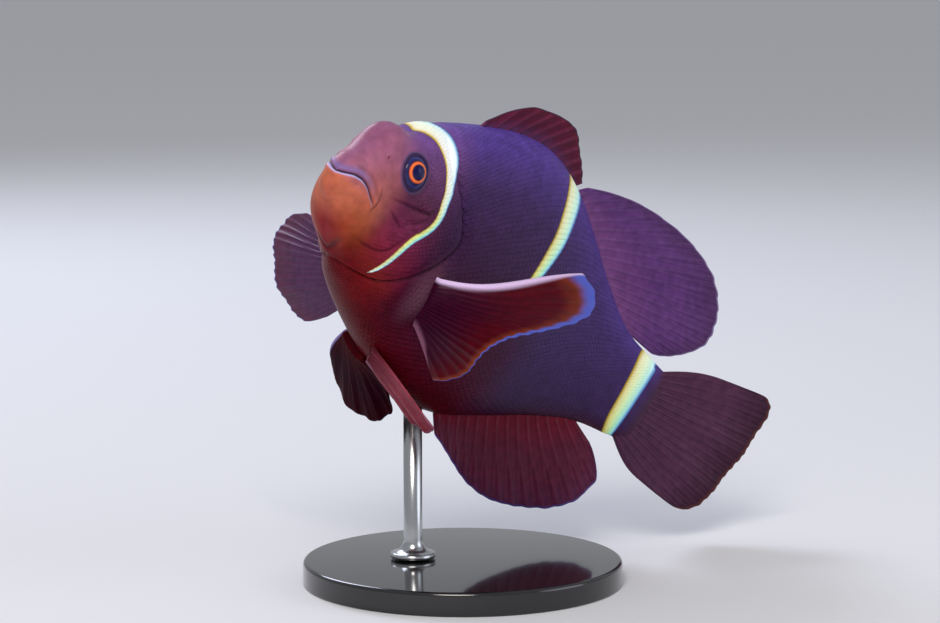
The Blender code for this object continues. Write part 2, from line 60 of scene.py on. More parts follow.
# ---- curves and small helpers ------------------------------------------------------------------
def curve_at(points: Table, at: np.ndarray | float, column: int = 1) -> np.ndarray:
    """Reads the smooth curve through rows of (place, value, ...).

    Args:
        points: rows that start with a place and hold values.
        at: one place or many.
        column: which value of the rows is read.

    Returns:
        The values there, level beyond both ends.
    """
    rows = np.array(points, float)
    places, values = rows[:, 0], rows[:, column]
    slopes = np.gradient(values, places)
    at = np.clip(at, places[0], places[-1])
    i = np.clip(np.searchsorted(places, at, side="right") - 1, 0, len(places) - 2)
    step = places[i + 1] - places[i]
    t = (at - places[i]) / step
    start = (2 * t**3 - 3 * t**2 + 1) * values[i] + (t**3 - 2 * t**2 + t) * step * slopes[i]
    end = (3 * t**2 - 2 * t**3) * values[i + 1] + (t**3 - t**2) * step * slopes[i + 1]
    return start + end


def ease(t: np.ndarray | float) -> np.ndarray:
    """From 0 to 1 with level ends."""
    t = np.clip(t, 0.0, 1.0)
    return t * t * (3 - 2 * t)


def hump(distance: np.ndarray, reach: float) -> np.ndarray:
    """A round hump: 1 at no distance, 0 from the reach on."""
    return ease(1 - np.abs(distance) / reach)


def bell(distance: np.ndarray, width: float) -> np.ndarray:
    """A soft bell, 1 at no distance and about a third at its width."""
    return np.exp(-((distance / width) ** 2))


def unit(vectors: np.ndarray) -> np.ndarray:
    """The same directions with length 1."""
    return vectors / np.maximum(np.linalg.norm(vectors, axis=-1, keepdims=True), 1e-12)


def on_left(points: np.ndarray) -> np.ndarray:
    """Points of the straight body, with those of the right flank mirrored to the left."""
    return points * np.array([1, 0, 1]) - np.abs(points) * np.array([0, 1, 0])


def linear(code: str) -> tuple[float, float, float, float]:
    """Turns a colour from sRGB to linear.

    Args:
        code: an sRGB hex colour such as '#a05143'.

    Returns:
        Linear red, green, blue and a full alpha, as shaders take them.
    """
    parts = [int(code[i : i + 2], 16) / 255 for i in (1, 3, 5)]
    r, g, b = (c / 12.92 if c <= 0.04045 else ((c + 0.055) / 1.055) ** 2.4 for c in parts)
    return r, g, b, 1.0


# ---- the pose ----------------------------------------------------------------------------------
@dataclass(frozen=True)
class Pose:
    """Bends the straight fish along its spine and turns it nose up, leaning, over the stand."""

    head_turn: float = 25.3  # degrees, as the next three
    tail_turn: float = 12.6
    nose_up: float = 32.1
    lean: float = 13.2
    pivot: float = 0.45  # where the spine keeps its heading, in standard lengths
    tail_bend_length: float = 0.6
    place: tuple[float, float, float] = (-0.0015, 0.0012, 0.0680)
    span: tuple[float, float] = (-0.2, 1.6)  # the spine is run out past snout and tail for the fins
    steps: int = 901

    def spine(self) -> tuple[np.ndarray, np.ndarray, np.ndarray, np.ndarray]:
        """Bends the spine, from the pivot to both ends.

        Returns:
            Places along the straight spine, the heading at each, and how far each lies along and across.
        """
        places = np.linspace(*self.span, self.steps)
        head = math.radians(self.head_turn) * (1 - ease(places / self.pivot))
        tail = math.radians(self.tail_turn) * ease((places - self.pivot) / self.tail_bend_length)
        heading = head - tail
        step = places[1] - places[0]
        along, across = np.cumsum(np.cos(heading)) * step, np.cumsum(np.sin(heading)) * step
        middle = np.argmin(abs(places - self.pivot))
        return places, heading, along - along[middle], across - across[middle]

    def posed(self, points: np.ndarray) -> np.ndarray:
        """Puts points of the straight fish in its pose.

        Args:
            points: places on the straight fish, in standard lengths.

        Returns:
            Their places in metres, in the frame of the solids.
        """
        places, heading, along, across = self.spine()
        x, y, z = np.asarray(points, float).T
        turn = np.interp(x, places, heading)
        bent = np.stack([
            np.interp(x, places, along) - y * np.sin(turn),
            np.interp(x, places, across) + y * np.cos(turn),
            z,
        ])
        nose_up = Matrix.Rotation(math.radians(self.nose_up), 3, "Y")
        lean = Matrix.Rotation(math.radians(self.lean), 3, "X")
        return (np.array(nose_up @ lean) @ bent).T * SL + np.array(self.place)


# ---- the straight body -------------------------------------------------------------------------
@dataclass(frozen=True)
class Mound:
    """A round mound on each side of the body, in standard lengths and degrees."""

    height: float
    x: float
    reach: float
    angle: float
    spread: float

    def rise(self, x: np.ndarray, side: np.ndarray) -> np.ndarray:
        """How far it stands proud at places on the body."""
        return self.height * hump(np.hypot((x - self.x) / self.reach, (side - self.angle) / self.spread), 1.0)


@dataclass(frozen=True)
class Body:
    """The fish's plain form, as in the solids: stations along the spine and round mounds on them."""

    stations: Table = (
        (0.00, 0.024, -0.058, 0.029),
        (0.03, 0.040, -0.070, 0.037),
        (0.08, 0.092, -0.100, 0.050),
        (0.15, 0.143, -0.138, 0.067),
        (0.22, 0.176, -0.172, 0.085),
        (0.30, 0.217, -0.204, 0.097),
        (0.40, 0.262, -0.238, 0.102),
        (0.50, 0.280, -0.258, 0.096),
        (0.60, 0.260, -0.243, 0.082),
        (0.70, 0.212, -0.196, 0.062),
        (0.80, 0.153, -0.143, 0.043),
        (0.90, 0.104, -0.100, 0.028),
        (1.00, 0.086, -0.082, 0.016),
    )
    snout_length: float = 0.05
    fullness: tuple[float, float] = (1.05, 0.9)
    full_from: float = 0.25
    gill_edges: Table = (
        (0, 0.235), (40, 0.235), (60, 0.262), (75, 0.305), (88, 0.335), (100, 0.318),
        (112, 0.290), (130, 0.240), (150, 0.178), (165, 0.150), (180, 0.139),
    )
    gill_step_height: float = 0.0045
    gill_step_span: tuple[float, float] = (45.0, 186.0)  # degrees from the crown
    gill_step_fades: tuple[float, float] = (25.0, 20.0)
    shoulder_length: float = 0.045
    lips: tuple[float, float, float] = (0.0035, 0.016, 0.018)  # height, place and reach
    jowls: Mound = Mound(0.015, 0.085, 0.075, 128.0, 55.0)
    orbit: Mound = Mound(0.007, 0.147, 0.050, 63.5, 34.0)
    pectoral_lobe: Mound = Mound(0.010, 0.345, 0.055, 117.0, 24.0)
    end: float = 0.995
    pole: float = 0.0015  # normals are read no nearer the tip of the snout
    probe: float = 0.004  # how far apart points are taken to read a normal

    def gill_edge(self, angle: np.ndarray | float) -> np.ndarray:
        """How far back the gill cover reaches at an angle from the crown."""
        return curve_at(self.gill_edges, np.abs(angle))

    def section(self, x: np.ndarray) -> tuple[np.ndarray, np.ndarray, np.ndarray]:
        """The plain body's outline, closed to a round snout.

        Args:
            x: places along the spine.

        Returns:
            The heights of back and belly and the half-width there.
        """
        back, belly, half = (curve_at(self.stations, x, i) for i in (1, 2, 3))
        t = np.clip(x / self.snout_length, 0.0, 1.0)
        close = np.sqrt(1 - (1 - t) ** 2)
        middle = (back + belly) / 2
        return middle + (back - middle) * close, middle + (belly - middle) * close, half * close

    def gill_step(self, angle: np.ndarray) -> np.ndarray:
        """How far the shoulder lies under the gill cover's edge.

        Args:
            angle: degrees from the crown.

        Returns:
            The step down, in standard lengths.
        """
        first, last = self.gill_step_span
        fade_in, fade_out = self.gill_step_fades
        side = np.abs(angle)
        return self.gill_step_height * ease((side - first) / fade_in) * ease((last - side) / fade_out)

    def relief(self, x: np.ndarray, angle: np.ndarray) -> np.ndarray:
        """What stands proud of the plain section, or lies under it.

        Args:
            x: places along the spine.
            angle: degrees from the crown.

        Returns:
            The rise in standard lengths.
        """
        height, middle, reach = self.lips
        side = np.abs(angle)
        behind = x - self.gill_edge(angle)
        shoulder = np.where(behind > 0, -self.gill_step(angle) * ease(1 - behind / self.shoulder_length), 0.0)
        mounds = sum(mound.rise(x, side) for mound in (self.jowls, self.orbit, self.pectoral_lobe))
        return height * hump(x - middle, reach) + shoulder + mounds

    def plain(self, x: np.ndarray, angle: np.ndarray, proud: np.ndarray | float = 0.0) -> np.ndarray:
        """Points of the plain body, or ones that stand proud of it.

        Args:
            x: places along the spine.
            angle: degrees from the crown.
            proud: how far the points stand off the section.

        Returns:
            Places on the straight fish.
        """
        back, belly, half = self.section(x)
        turn = np.radians(angle)
        snout, trunk = self.fullness
        fullness = snout + (trunk - snout) * ease(x / self.full_from)
        across = np.sign(np.sin(turn)) * np.abs(np.sin(turn)) ** fullness
        z = (back + belly) / 2 + ((back - belly) / 2 + proud) * np.cos(turn)
        return np.stack([x + 0 * turn, -(half + proud) * across, z], axis=-1)

    def outward(self, x: np.ndarray, angle: np.ndarray) -> np.ndarray:
        """The plain body's outward normals.

        Args:
            x: places along the spine.
            angle: degrees from the crown.

        Returns:
            Directions of length 1.
        """
        x = np.maximum(x, self.pole)
        along = self.plain(x + self.probe, angle) - self.plain(x - self.probe, angle)
        around = self.plain(x, angle + 1) - self.plain(x, angle - 1)
        return unit(np.cross(around, along))

    def at(self, x: np.ndarray, angle: np.ndarray, metres: np.ndarray | float = 0.0) -> np.ndarray:
        """Points of the body with its relief, or some way off it.

        Args:
            x: places along the spine.
            angle: degrees from the crown.
            metres: how far off the body they lie.

        Returns:
            Places on the straight fish.
        """
        x, angle = np.broadcast_arrays(np.asarray(x, float), np.asarray(angle, float))
        base = self.plain(x, angle, self.relief(x, angle))
        lift = np.broadcast_to(np.asarray(metres, float), x.shape)[..., None] / SL
        return base + self.outward(x, angle) * lift


POSE = Pose()
BODY = Body()


# ---- lines, folds and bars on the body ---------------------------------------------------------
@dataclass(frozen=True)
class SurfaceLine:
    """A smooth line over the left flank, mirrored on the right, through rows of (x, angle, ...)."""

    rows: Table
    steps: int = 30

    def column(self, share: np.ndarray, index: int) -> np.ndarray:
        """A column of the rows, read at shares of the line's length."""
        shares = np.linspace(0, 1, len(self.rows))
        return curve_at([(t, row[index]) for t, row in zip(shares, self.rows)], share)

    def measure(self, points: np.ndarray, reach: float) -> tuple[np.ndarray, np.ndarray]:
        """Finds how far points lie from the line.

        Args:
            points: places on the straight body.
            reach: how far from the line they still count, in standard lengths.

        Returns:
            The distance in millimetres, positive above a line that runs back and behind one that runs
            down, and the share of the line at the nearest point.
        """
        shares = np.linspace(0, 1, self.steps)
        x, angle = self.column(shares, 0), self.column(shares, 1)
        trace, normals = BODY.at(x, angle), BODY.outward(x, angle)
        flank = on_left(points)
        near = np.all((flank > trace.min(0) - reach) & (flank < trace.max(0) + reach), axis=1)
        chosen = flank[near]
        best = np.full(len(chosen), np.inf)
        signed, share = np.full(len(chosen), FAR), np.zeros(len(chosen))
        for k in range(self.steps - 1):
            run = trace[k + 1] - trace[k]
            t = np.clip((chosen - trace[k]) @ run / (run @ run), 0, 1)
            offset = chosen - trace[k] - t[:, None] * run
            away = np.linalg.norm(offset, axis=1)
            side = np.where(offset @ np.cross(normals[k], run) >= 0, 1.0, -1.0)
            closer = away < best
            best = np.where(closer, away, best)
            signed = np.where(closer, side * away * SL / MM, signed)
            share = np.where(closer, (k + t) / (self.steps - 1), share)
        distance, shares = np.full(len(points), FAR), np.zeros(len(points))
        distance[near], shares[near] = signed, share
        return distance, shares


@dataclass(frozen=True)
class Fold:
    """A groove along a line, with a ridge beside it or a shelf that drops into it, in millimetres."""

    line: SurfaceLine
    groove: float = 0.0
    groove_width: float = 0.25
    ridge: float = 0.0
    ridge_width: float = 0.6
    ridge_at: float = 0.8
    lower_ridge: float = 0.0
    shelf: float = 0.0
    shelf_width: float = 1.5
    shelf_start: float = -0.1
    shelf_slope: float = 0.3
    start_fade: float = 0.15  # a share of the line, as the next two
    end_fade: float = 0.15
    head_start: float = 0.001  # keeps a fold open where it crosses the tip of the snout
    # painted shade in a groove is full once the groove is this deep
    full_shade_groove: float = 0.45  # a groove this deep is fully dark
    reach: float = 0.05  # how far from the line it is felt, in standard lengths

    def rise(self, points: np.ndarray) -> tuple[np.ndarray, np.ndarray]:
        """How the fold shapes the skin.

        Args:
            points: places on the straight body.

        Returns:
            How far the skin stands proud there, in millimetres, and how deep in the groove a point lies,
            which is the painted shade that it gets there, from 0 to 1.
        """
        distance, share = self.line.measure(points, self.reach)
        begun = ease((share + self.head_start) / max(self.start_fade, TINY))
        fade = begun * ease((1 - share) / max(self.end_fade, TINY))
        fade = np.where(np.abs(distance) < FAR, fade, 0.0)
        cut = bell(distance, self.groove_width) * fade
        ridges = self.ridge * bell(distance - self.ridge_at, self.ridge_width)
        ridges = ridges + self.lower_ridge * bell(distance + self.ridge_at, self.ridge_width)
        worn = np.exp(-np.maximum(distance, 0) / self.shelf_width)
        shelf = self.shelf * ease((distance - self.shelf_start) / self.shelf_slope) * worn
        depth = min(1.0, self.groove / self.full_shade_groove)
        return (ridges + shelf) * fade - self.groove * cut, cut * depth


@dataclass(frozen=True)
class Bar:
    """A pale bar across the flank: rows of (x, angle, half-width in mm, yellow tint)."""

    line: SurfaceLine
    reach: float = 0.08
    thinnest: float = 0.02  # millimetres
    outside: float = 9.0

    def across(self, points: np.ndarray) -> tuple[np.ndarray, np.ndarray]:
        """Where points lie across the bar.

        Args:
            points: places on the straight body.

        Returns:
            The place across, -1 at the bar's front edge and 1 at its rear edge, and its yellow tint.
        """
        distance, share = self.line.measure(points, self.reach)
        half = np.maximum(self.line.column(share, 2), self.thinnest)
        return np.clip(distance / half, -self.outside, self.outside), self.line.column(share, 3)


class Side(Enum):
    """A side of the fish; the value is the sign of its angles."""

    LEFT = 1
    RIGHT = -1

    @property
    def word(self) -> str:
        """The side's name as the nodes spell it."""
        return self.name.lower()


@dataclass(frozen=True)
class EyePlace:
    """Where the eyeballs sit, as in the solids, in metres and degrees."""

    radius: float = 0.0035
    flatness: float = 0.8
    depth: float = 0.0016
    x: float = 0.147
    angle: float = 63.5
    forward: float = 11.0  # degrees that the eyeball turns ahead of the brow's own way
    rim_at: float = 1.06  # in the eye's radius, as the next two
    socket_edge: float = 0.93
    socket_slope: float = 0.30
    rim_height: float = 0.28 * MM
    rim_width: float = 0.45 * MM
    socket_depth: float = 1.9 * MM

    def axis(self, side: Side) -> np.ndarray:
        """The middle of the eyeball and a point outside it, on the straight fish."""
        return np.stack([BODY.at(self.x, side.value * self.angle, off) for off in (-self.depth, 2 * MM)])

    def frame(self, side: Side) -> tuple[np.ndarray, np.ndarray]:
        """Where an eyeball sits and how it is turned.

        Args:
            side: the eye's side.

        Returns:
            The eyeball's middle in metres and the way it looks.
        """
        middle, outside = POSE.posed(self.axis(side))
        nose, neck = POSE.posed(np.array([[self.x - 0.05, 0, 0], [self.x, 0, 0]]))
        ahead = unit(nose - neck)
        return middle, unit(unit(outside - middle) + math.tan(math.radians(self.forward)) * ahead)

    def from_axis(self, points: np.ndarray) -> np.ndarray:
        """How far points lie from the axis of the eye on their side.

        Args:
            points: places on the straight body.

        Returns:
            The distances in metres.
        """
        middle, outside = self.axis(Side.LEFT)
        look = unit(outside - middle)
        offset = on_left(points) - middle
        return np.linalg.norm(offset - (offset @ look)[:, None] * look, axis=1) * SL

    def rise(self, points: np.ndarray) -> np.ndarray:
        """The soft rim round the eye and the socket that the eyeball fills.

        Args:
            points: places on the straight body.

        Returns:
            How far the skin rises there, in metres.
        """
        away = self.from_axis(points)
        rim = self.rim_height * bell(away - self.radius * self.rim_at, self.rim_width)
        inside = (self.radius * self.socket_edge - away) / (self.socket_slope * self.radius)
        return rim - self.socket_depth * ease(inside)


@dataclass(frozen=True)
class Nostril:
    """The single small nostril on each side of the snout."""

    x: float = 0.078
    angle: float = 50.0
    radius: float = 0.32 * MM
    depth: float = 0.5 * MM
    rim_at: float = 1.7  # in the pit's radius
    rim_height: float = 0.16 * MM
    rim_width: float = 0.22 * MM

    def rise(self, points: np.ndarray) -> np.ndarray:
        """A low rim round a pit.

        Args:
            points: places on the straight body.

        Returns:
            How far the skin rises there, in metres.
        """
        away = np.linalg.norm(on_left(points) - BODY.at(self.x, self.angle), axis=1) * SL
        rim = self.rim_height * bell(away - self.rim_at * self.radius, self.rim_width)
        return rim - self.depth * bell(away, self.radius)


@dataclass(frozen=True)
class Anatomy:
    """The folds of the skin and the markings, in places on the body."""

    mouth: Fold = Fold(
        SurfaceLine((
            (0.0, 82), (0.006, 79), (0.017, 76), (0.034, 79), (0.053, 88), (0.070, 98), (0.083, 103),
            (0.091, 108),
        )),
        groove=0.55, groove_width=0.27, ridge=0.20, ridge_width=0.62, ridge_at=0.85, lower_ridge=0.16,
        start_fade=0.0, end_fade=0.30,
    )
    lip_fold: Fold = Fold(
        SurfaceLine(((0.010, 38), (0.020, 50), (0.041, 66), (0.064, 80), (0.082, 91), (0.092, 100))),
        groove=0.10, groove_width=0.45, ridge=0.08, ridge_width=0.8, ridge_at=1.0,
        start_fade=0.3, end_fade=0.2,
    )
    jaw_fold: Fold = Fold(
        SurfaceLine(((0.087, 83), (0.093, 91), (0.094, 99), (0.089, 107), (0.081, 114))),
        groove=0.25, groove_width=0.3, ridge=0.2, ridge_width=0.6, ridge_at=-0.8,
        start_fade=0.3, end_fade=0.4,
    )
    cheek_spine: Fold = Fold(
        SurfaceLine(((0.092, 91), (0.129, 88.5), (0.167, 86.5), (0.200, 84.5), (0.236, 82.5))),
        groove=0.40, groove_width=0.24, shelf=0.48, shelf_width=1.5, start_fade=0.75, end_fade=0.05,
    )
    lower_spine: Fold = Fold(
        SurfaceLine(((0.135, 96), (0.158, 98.5), (0.188, 101))),
        groove=0.32, groove_width=0.22, shelf=0.30, shelf_width=0.9, start_fade=0.5, end_fade=0.1,
    )
    spine_tip: Fold = Fold(
        SurfaceLine(((0.196, 95), (0.215, 91), (0.238, 84))),
        groove=0.30, groove_width=0.22, shelf=0.2, shelf_width=0.7, start_fade=0.3, end_fade=0.1,
    )
    preopercle: Fold = Fold(
        SurfaceLine((
            (0.105, 133), (0.128, 132), (0.152, 129), (0.176, 124), (0.194, 117), (0.206, 107), (0.222, 97),
        )),
        groove=0.22, groove_width=0.32, shelf=0.24, shelf_width=1.8, start_fade=0.3, end_fade=0.3,
    )
    chin_fold: Fold = Fold(
        SurfaceLine(((0.126, 180), (0.124, 174), (0.116, 165), (0.106, 157), (0.104, 150), (0.112, 142))),
        groove=0.26, groove_width=0.65, ridge=0.1, start_fade=0.0, end_fade=0.6,
    )
    head_bar: Bar = Bar(SurfaceLine((
        (0.184, 0, 2.7, 0.25), (0.192, 12, 2.75, 0.2), (0.205, 22, 2.6, 0.1), (0.219, 34, 2.3, 0.0),
        (0.230, 44, 1.95, 0.0), (0.237, 52, 1.6, 0.05), (0.243, 60, 1.3, 0.15), (0.249, 67, 1.12, 0.25),
        (0.252, 74, 1.02, 0.4), (0.256, 80, 0.92, 0.6), (0.255, 86, 0.80, 0.75), (0.246, 92, 0.74, 0.8),
        (0.229, 100, 0.72, 0.8), (0.221, 108, 0.70, 0.75), (0.216, 117, 0.62, 0.65), (0.211, 126, 0.50, 0.5),
        (0.206, 133, 0.34, 0.4), (0.200, 139, 0.02, 0.4),
    ), steps=56))
    middle_bar: Bar = Bar(SurfaceLine((
        (0.588, 0, 2.3, 0.35), (0.582, 15, 2.6, 0.4), (0.579, 28, 2.7, 0.45), (0.579, 44, 2.35, 0.5),
        (0.580, 57, 2.05, 0.6), (0.574, 68, 1.75, 0.7), (0.566, 78, 1.35, 0.8), (0.556, 88, 0.9, 0.8),
        (0.545, 99, 0.02, 0.8),
    ), steps=36))
    tail_bar: Bar = Bar(SurfaceLine((
        (0.976, 0, 2.0, 0.4), (0.970, 30, 2.7, 0.45), (0.968, 55, 2.6, 0.55), (0.967, 90, 2.3, 0.65),
        (0.969, 125, 2.0, 0.75), (0.976, 155, 1.45, 0.8), (0.982, 180, 1.1, 0.8),
    ), steps=30))
    nostril: Nostril = Nostril()
    eye: EyePlace = EyePlace()
    brow: Mound = Mound(0.0150, 0.087, 0.050, 11.0, 56.0)
    nape: Mound = Mound(-0.0150, 0.151, 0.048, -4.0, 48.0)
    lobe: Mound = Mound(1.0, 0.330, 0.045, 118.0, 26.0)  # the dull patch at the root of the pectoral fin
    slit_depth: float = 0.55  # of the slit behind the gill cover, in millimetres, as the next three
    slit_start: float = 0.05
    slit_at: float = 0.25
    slit_width: float = 0.45
    head_end: float = 0.30  # folds lie ahead of this
    lip_at: float = 0.9  # of the lilac band on the upper lip: millimetres off the mouth, as the next three
    lip_width: float = 0.85
    # these two place the painted highlight along the wet edge of the lower lip
    lip_highlight_at: float = -0.32
    lip_highlight_width: float = 0.20
    lip_strength: float = 0.7

    def folds(self) -> tuple[Fold, ...]:
        """Every fold of the skin."""
        return (
            self.mouth, self.lip_fold, self.jaw_fold, self.cheek_spine, self.lower_spine, self.spine_tip,
            self.preopercle, self.chin_fold,
        )

    def rise(self, x: np.ndarray, angle: np.ndarray, points: np.ndarray) -> tuple[np.ndarray, np.ndarray]:
        """What the folds, eye rims and gill slits add to the body.

        Args:
            x: places along the spine.
            angle: degrees down from the crown.
            points: the same places on the straight body.

        Returns:
            The rise in metres and how much a point lies in a crease or gill slit, which is the painted shade
            that it gets there, from 0 to 1.
        """
        total, crease_shade = np.zeros(len(points)), np.zeros(len(points))
        head = x < self.head_end
        for fold in self.folds():
            rise, cut = fold.rise(points[head])
            total[head] += rise * MM
            crease_shade[head] = np.maximum(crease_shade[head], cut)
        total += self.eye.rise(points) + self.nostril.rise(points)
        total += (self.brow.rise(x, np.abs(angle)) + self.nape.rise(x, np.abs(angle))) * SL
        behind = (x - BODY.gill_edge(angle)) * SL / MM
        openness = BODY.gill_step(angle) / BODY.gill_step_height
        # the gill slit gets painted shade as the creases do
        slit = np.where(behind > self.slit_start, bell(behind - self.slit_at, self.slit_width), 0.0)
        slit = slit * openness
        return total - self.slit_depth * MM * slit, np.maximum(crease_shade, slit)

    def marks(self, x: np.ndarray, angle: np.ndarray, points: np.ndarray) -> dict[str, np.ndarray]:
        """The attributes that the skin's finish reads.

        Args:
            x: places along the spine.
            angle: degrees from the crown.
            points: the same places on the straight body.

        Returns:
            `place`: along the spine, from crown to belly, and the distance from the eye in its radius;
            `bar`: the distance across the nearest bar, the place across it, and its yellow tint;
            `lip`: the lilac upper lip, a painted highlight on the wet edge of the lower lip, and the pectoral
            lobe.
        """
        across, tint = np.full(len(points), self.head_bar.outside), np.zeros(len(points))
        for bar in (self.head_bar, self.middle_bar, self.tail_bar):
            found, its_tint = bar.across(points)
            nearer = np.abs(found) < np.abs(across)
            across = np.where(nearer, found, across)
            tint = np.where(nearer, its_tint, tint)
        away = np.abs(across)
        bar = np.stack([away, across * (1 - ease((away - 1.6) / 1.4)), tint], axis=-1)
        mouth, share = self.mouth.line.measure(points, self.mouth.reach)
        fade = ease((1 - share) / 0.6) * np.where(np.abs(mouth) < FAR, 1.0, 0.0)
        upper = np.where(mouth > 0, bell(mouth - self.lip_at, self.lip_width), 0.0)
        upper = upper * fade * ease((0.95 - share) / 0.7)
        # a painted highlight along the wet edge of the lower lip
        lower_lip_highlight = bell(mouth - self.lip_highlight_at, self.lip_highlight_width) * fade
        eye = self.eye.from_axis(points) / self.eye.radius
        place = np.stack([x, np.abs(angle) / 180, eye], axis=-1)
        lip = np.stack([self.lip_strength * upper, lower_lip_highlight, self.lobe.rise(x, np.abs(angle))], axis=-1)
        return {"place": place, "bar": bar, "lip": lip}


ANATOMY = Anatomy()


# ---- finishes ----------------------------------------------------------------------------------
MUCUS = "#d8a8c4"  # the tint that wet mucus gives the sheen of skin and fins


def add_node(
    tree: bpy.types.NodeTree,
    kind: str,
    settings: dict[str, object] | None = None,
    values: dict[str | int, object] | None = None,
    links: dict[str | int, bpy.types.NodeSocket] | None = None,
    stops: Sequence[tuple[float, str]] = (),
) -> bpy.types.Node:
    """Adds a node with its settings and links.

    Args:
        tree: the material's nodes.
        kind: the node's type.
        settings: its properties.
        values: its sockets' own values, by name or number.
        links: the outputs that its sockets take, by name or number.
        stops: a colour ramp's places and sRGB hex colours.

    Returns:
        The new node.
    """
    made = tree.nodes.new(kind)
    for name, value in (settings or {}).items():
        setattr(made, name, value)
    for name, value in (values or {}).items():
        made.inputs[name].default_value = value
    for name, output in (links or {}).items():
        tree.links.new(output, made.inputs[name])
    for i, (place, code) in enumerate(stops):
        elements = made.color_ramp.elements
        stop = elements[i] if i < len(elements) else elements.new(place)
        stop.position = place
        stop.color = linear(code)
    return made


def new_material(
    name: str, sockets: dict[str, object]
) -> tuple[bpy.types.Material, bpy.types.NodeTree, bpy.types.Node]:
    """Starts a material.

    Args:
        name: the material's name.
        sockets: the shader's values that hold all over the surface, by socket.

    Returns:
        The material, its nodes and its Principled shader.
    """
    made = bpy.data.materials.new(name)
    made.use_nodes = True
    shader = made.node_tree.nodes["Principled BSDF"]
    for socket, value in sockets.items():
        shader.inputs[socket].default_value = value
    return made, made.node_tree, shader


def add_relief(
    tree: bpy.types.NodeTree, shader: bpy.types.Node, size: float, detail: float, strength: float,
    depth: float,
) -> bpy.types.NodeSocket:
    """Gives a surface a fine relief of grains.

    Args:
        tree: the material's nodes.
        shader: the shader that takes the relief.
        size: of a grain, in millimetres.
        detail: how many finer layers lie in it.
        strength: of the relief, from 0 to 1.
        depth: of the relief, in millimetres.

    Returns:
        The grains' pattern, from 0 to 1.
    """
    where = add_node(tree, "ShaderNodeTexCoord")
    grains = add_node(
        tree, "ShaderNodeTexNoise", values={"Scale": 1 / (size * MM), "Detail": detail},
        links={"Vector": where.outputs["Object"]},
    )
    bump = add_node(
        tree, "ShaderNodeBump", values={"Strength": strength, "Distance": depth * MM},
        links={"Height": grains.outputs["Fac"]},
    )
    tree.links.new(bump.outputs["Normal"], shader.inputs["Normal"])
    return grains.outputs["Fac"]


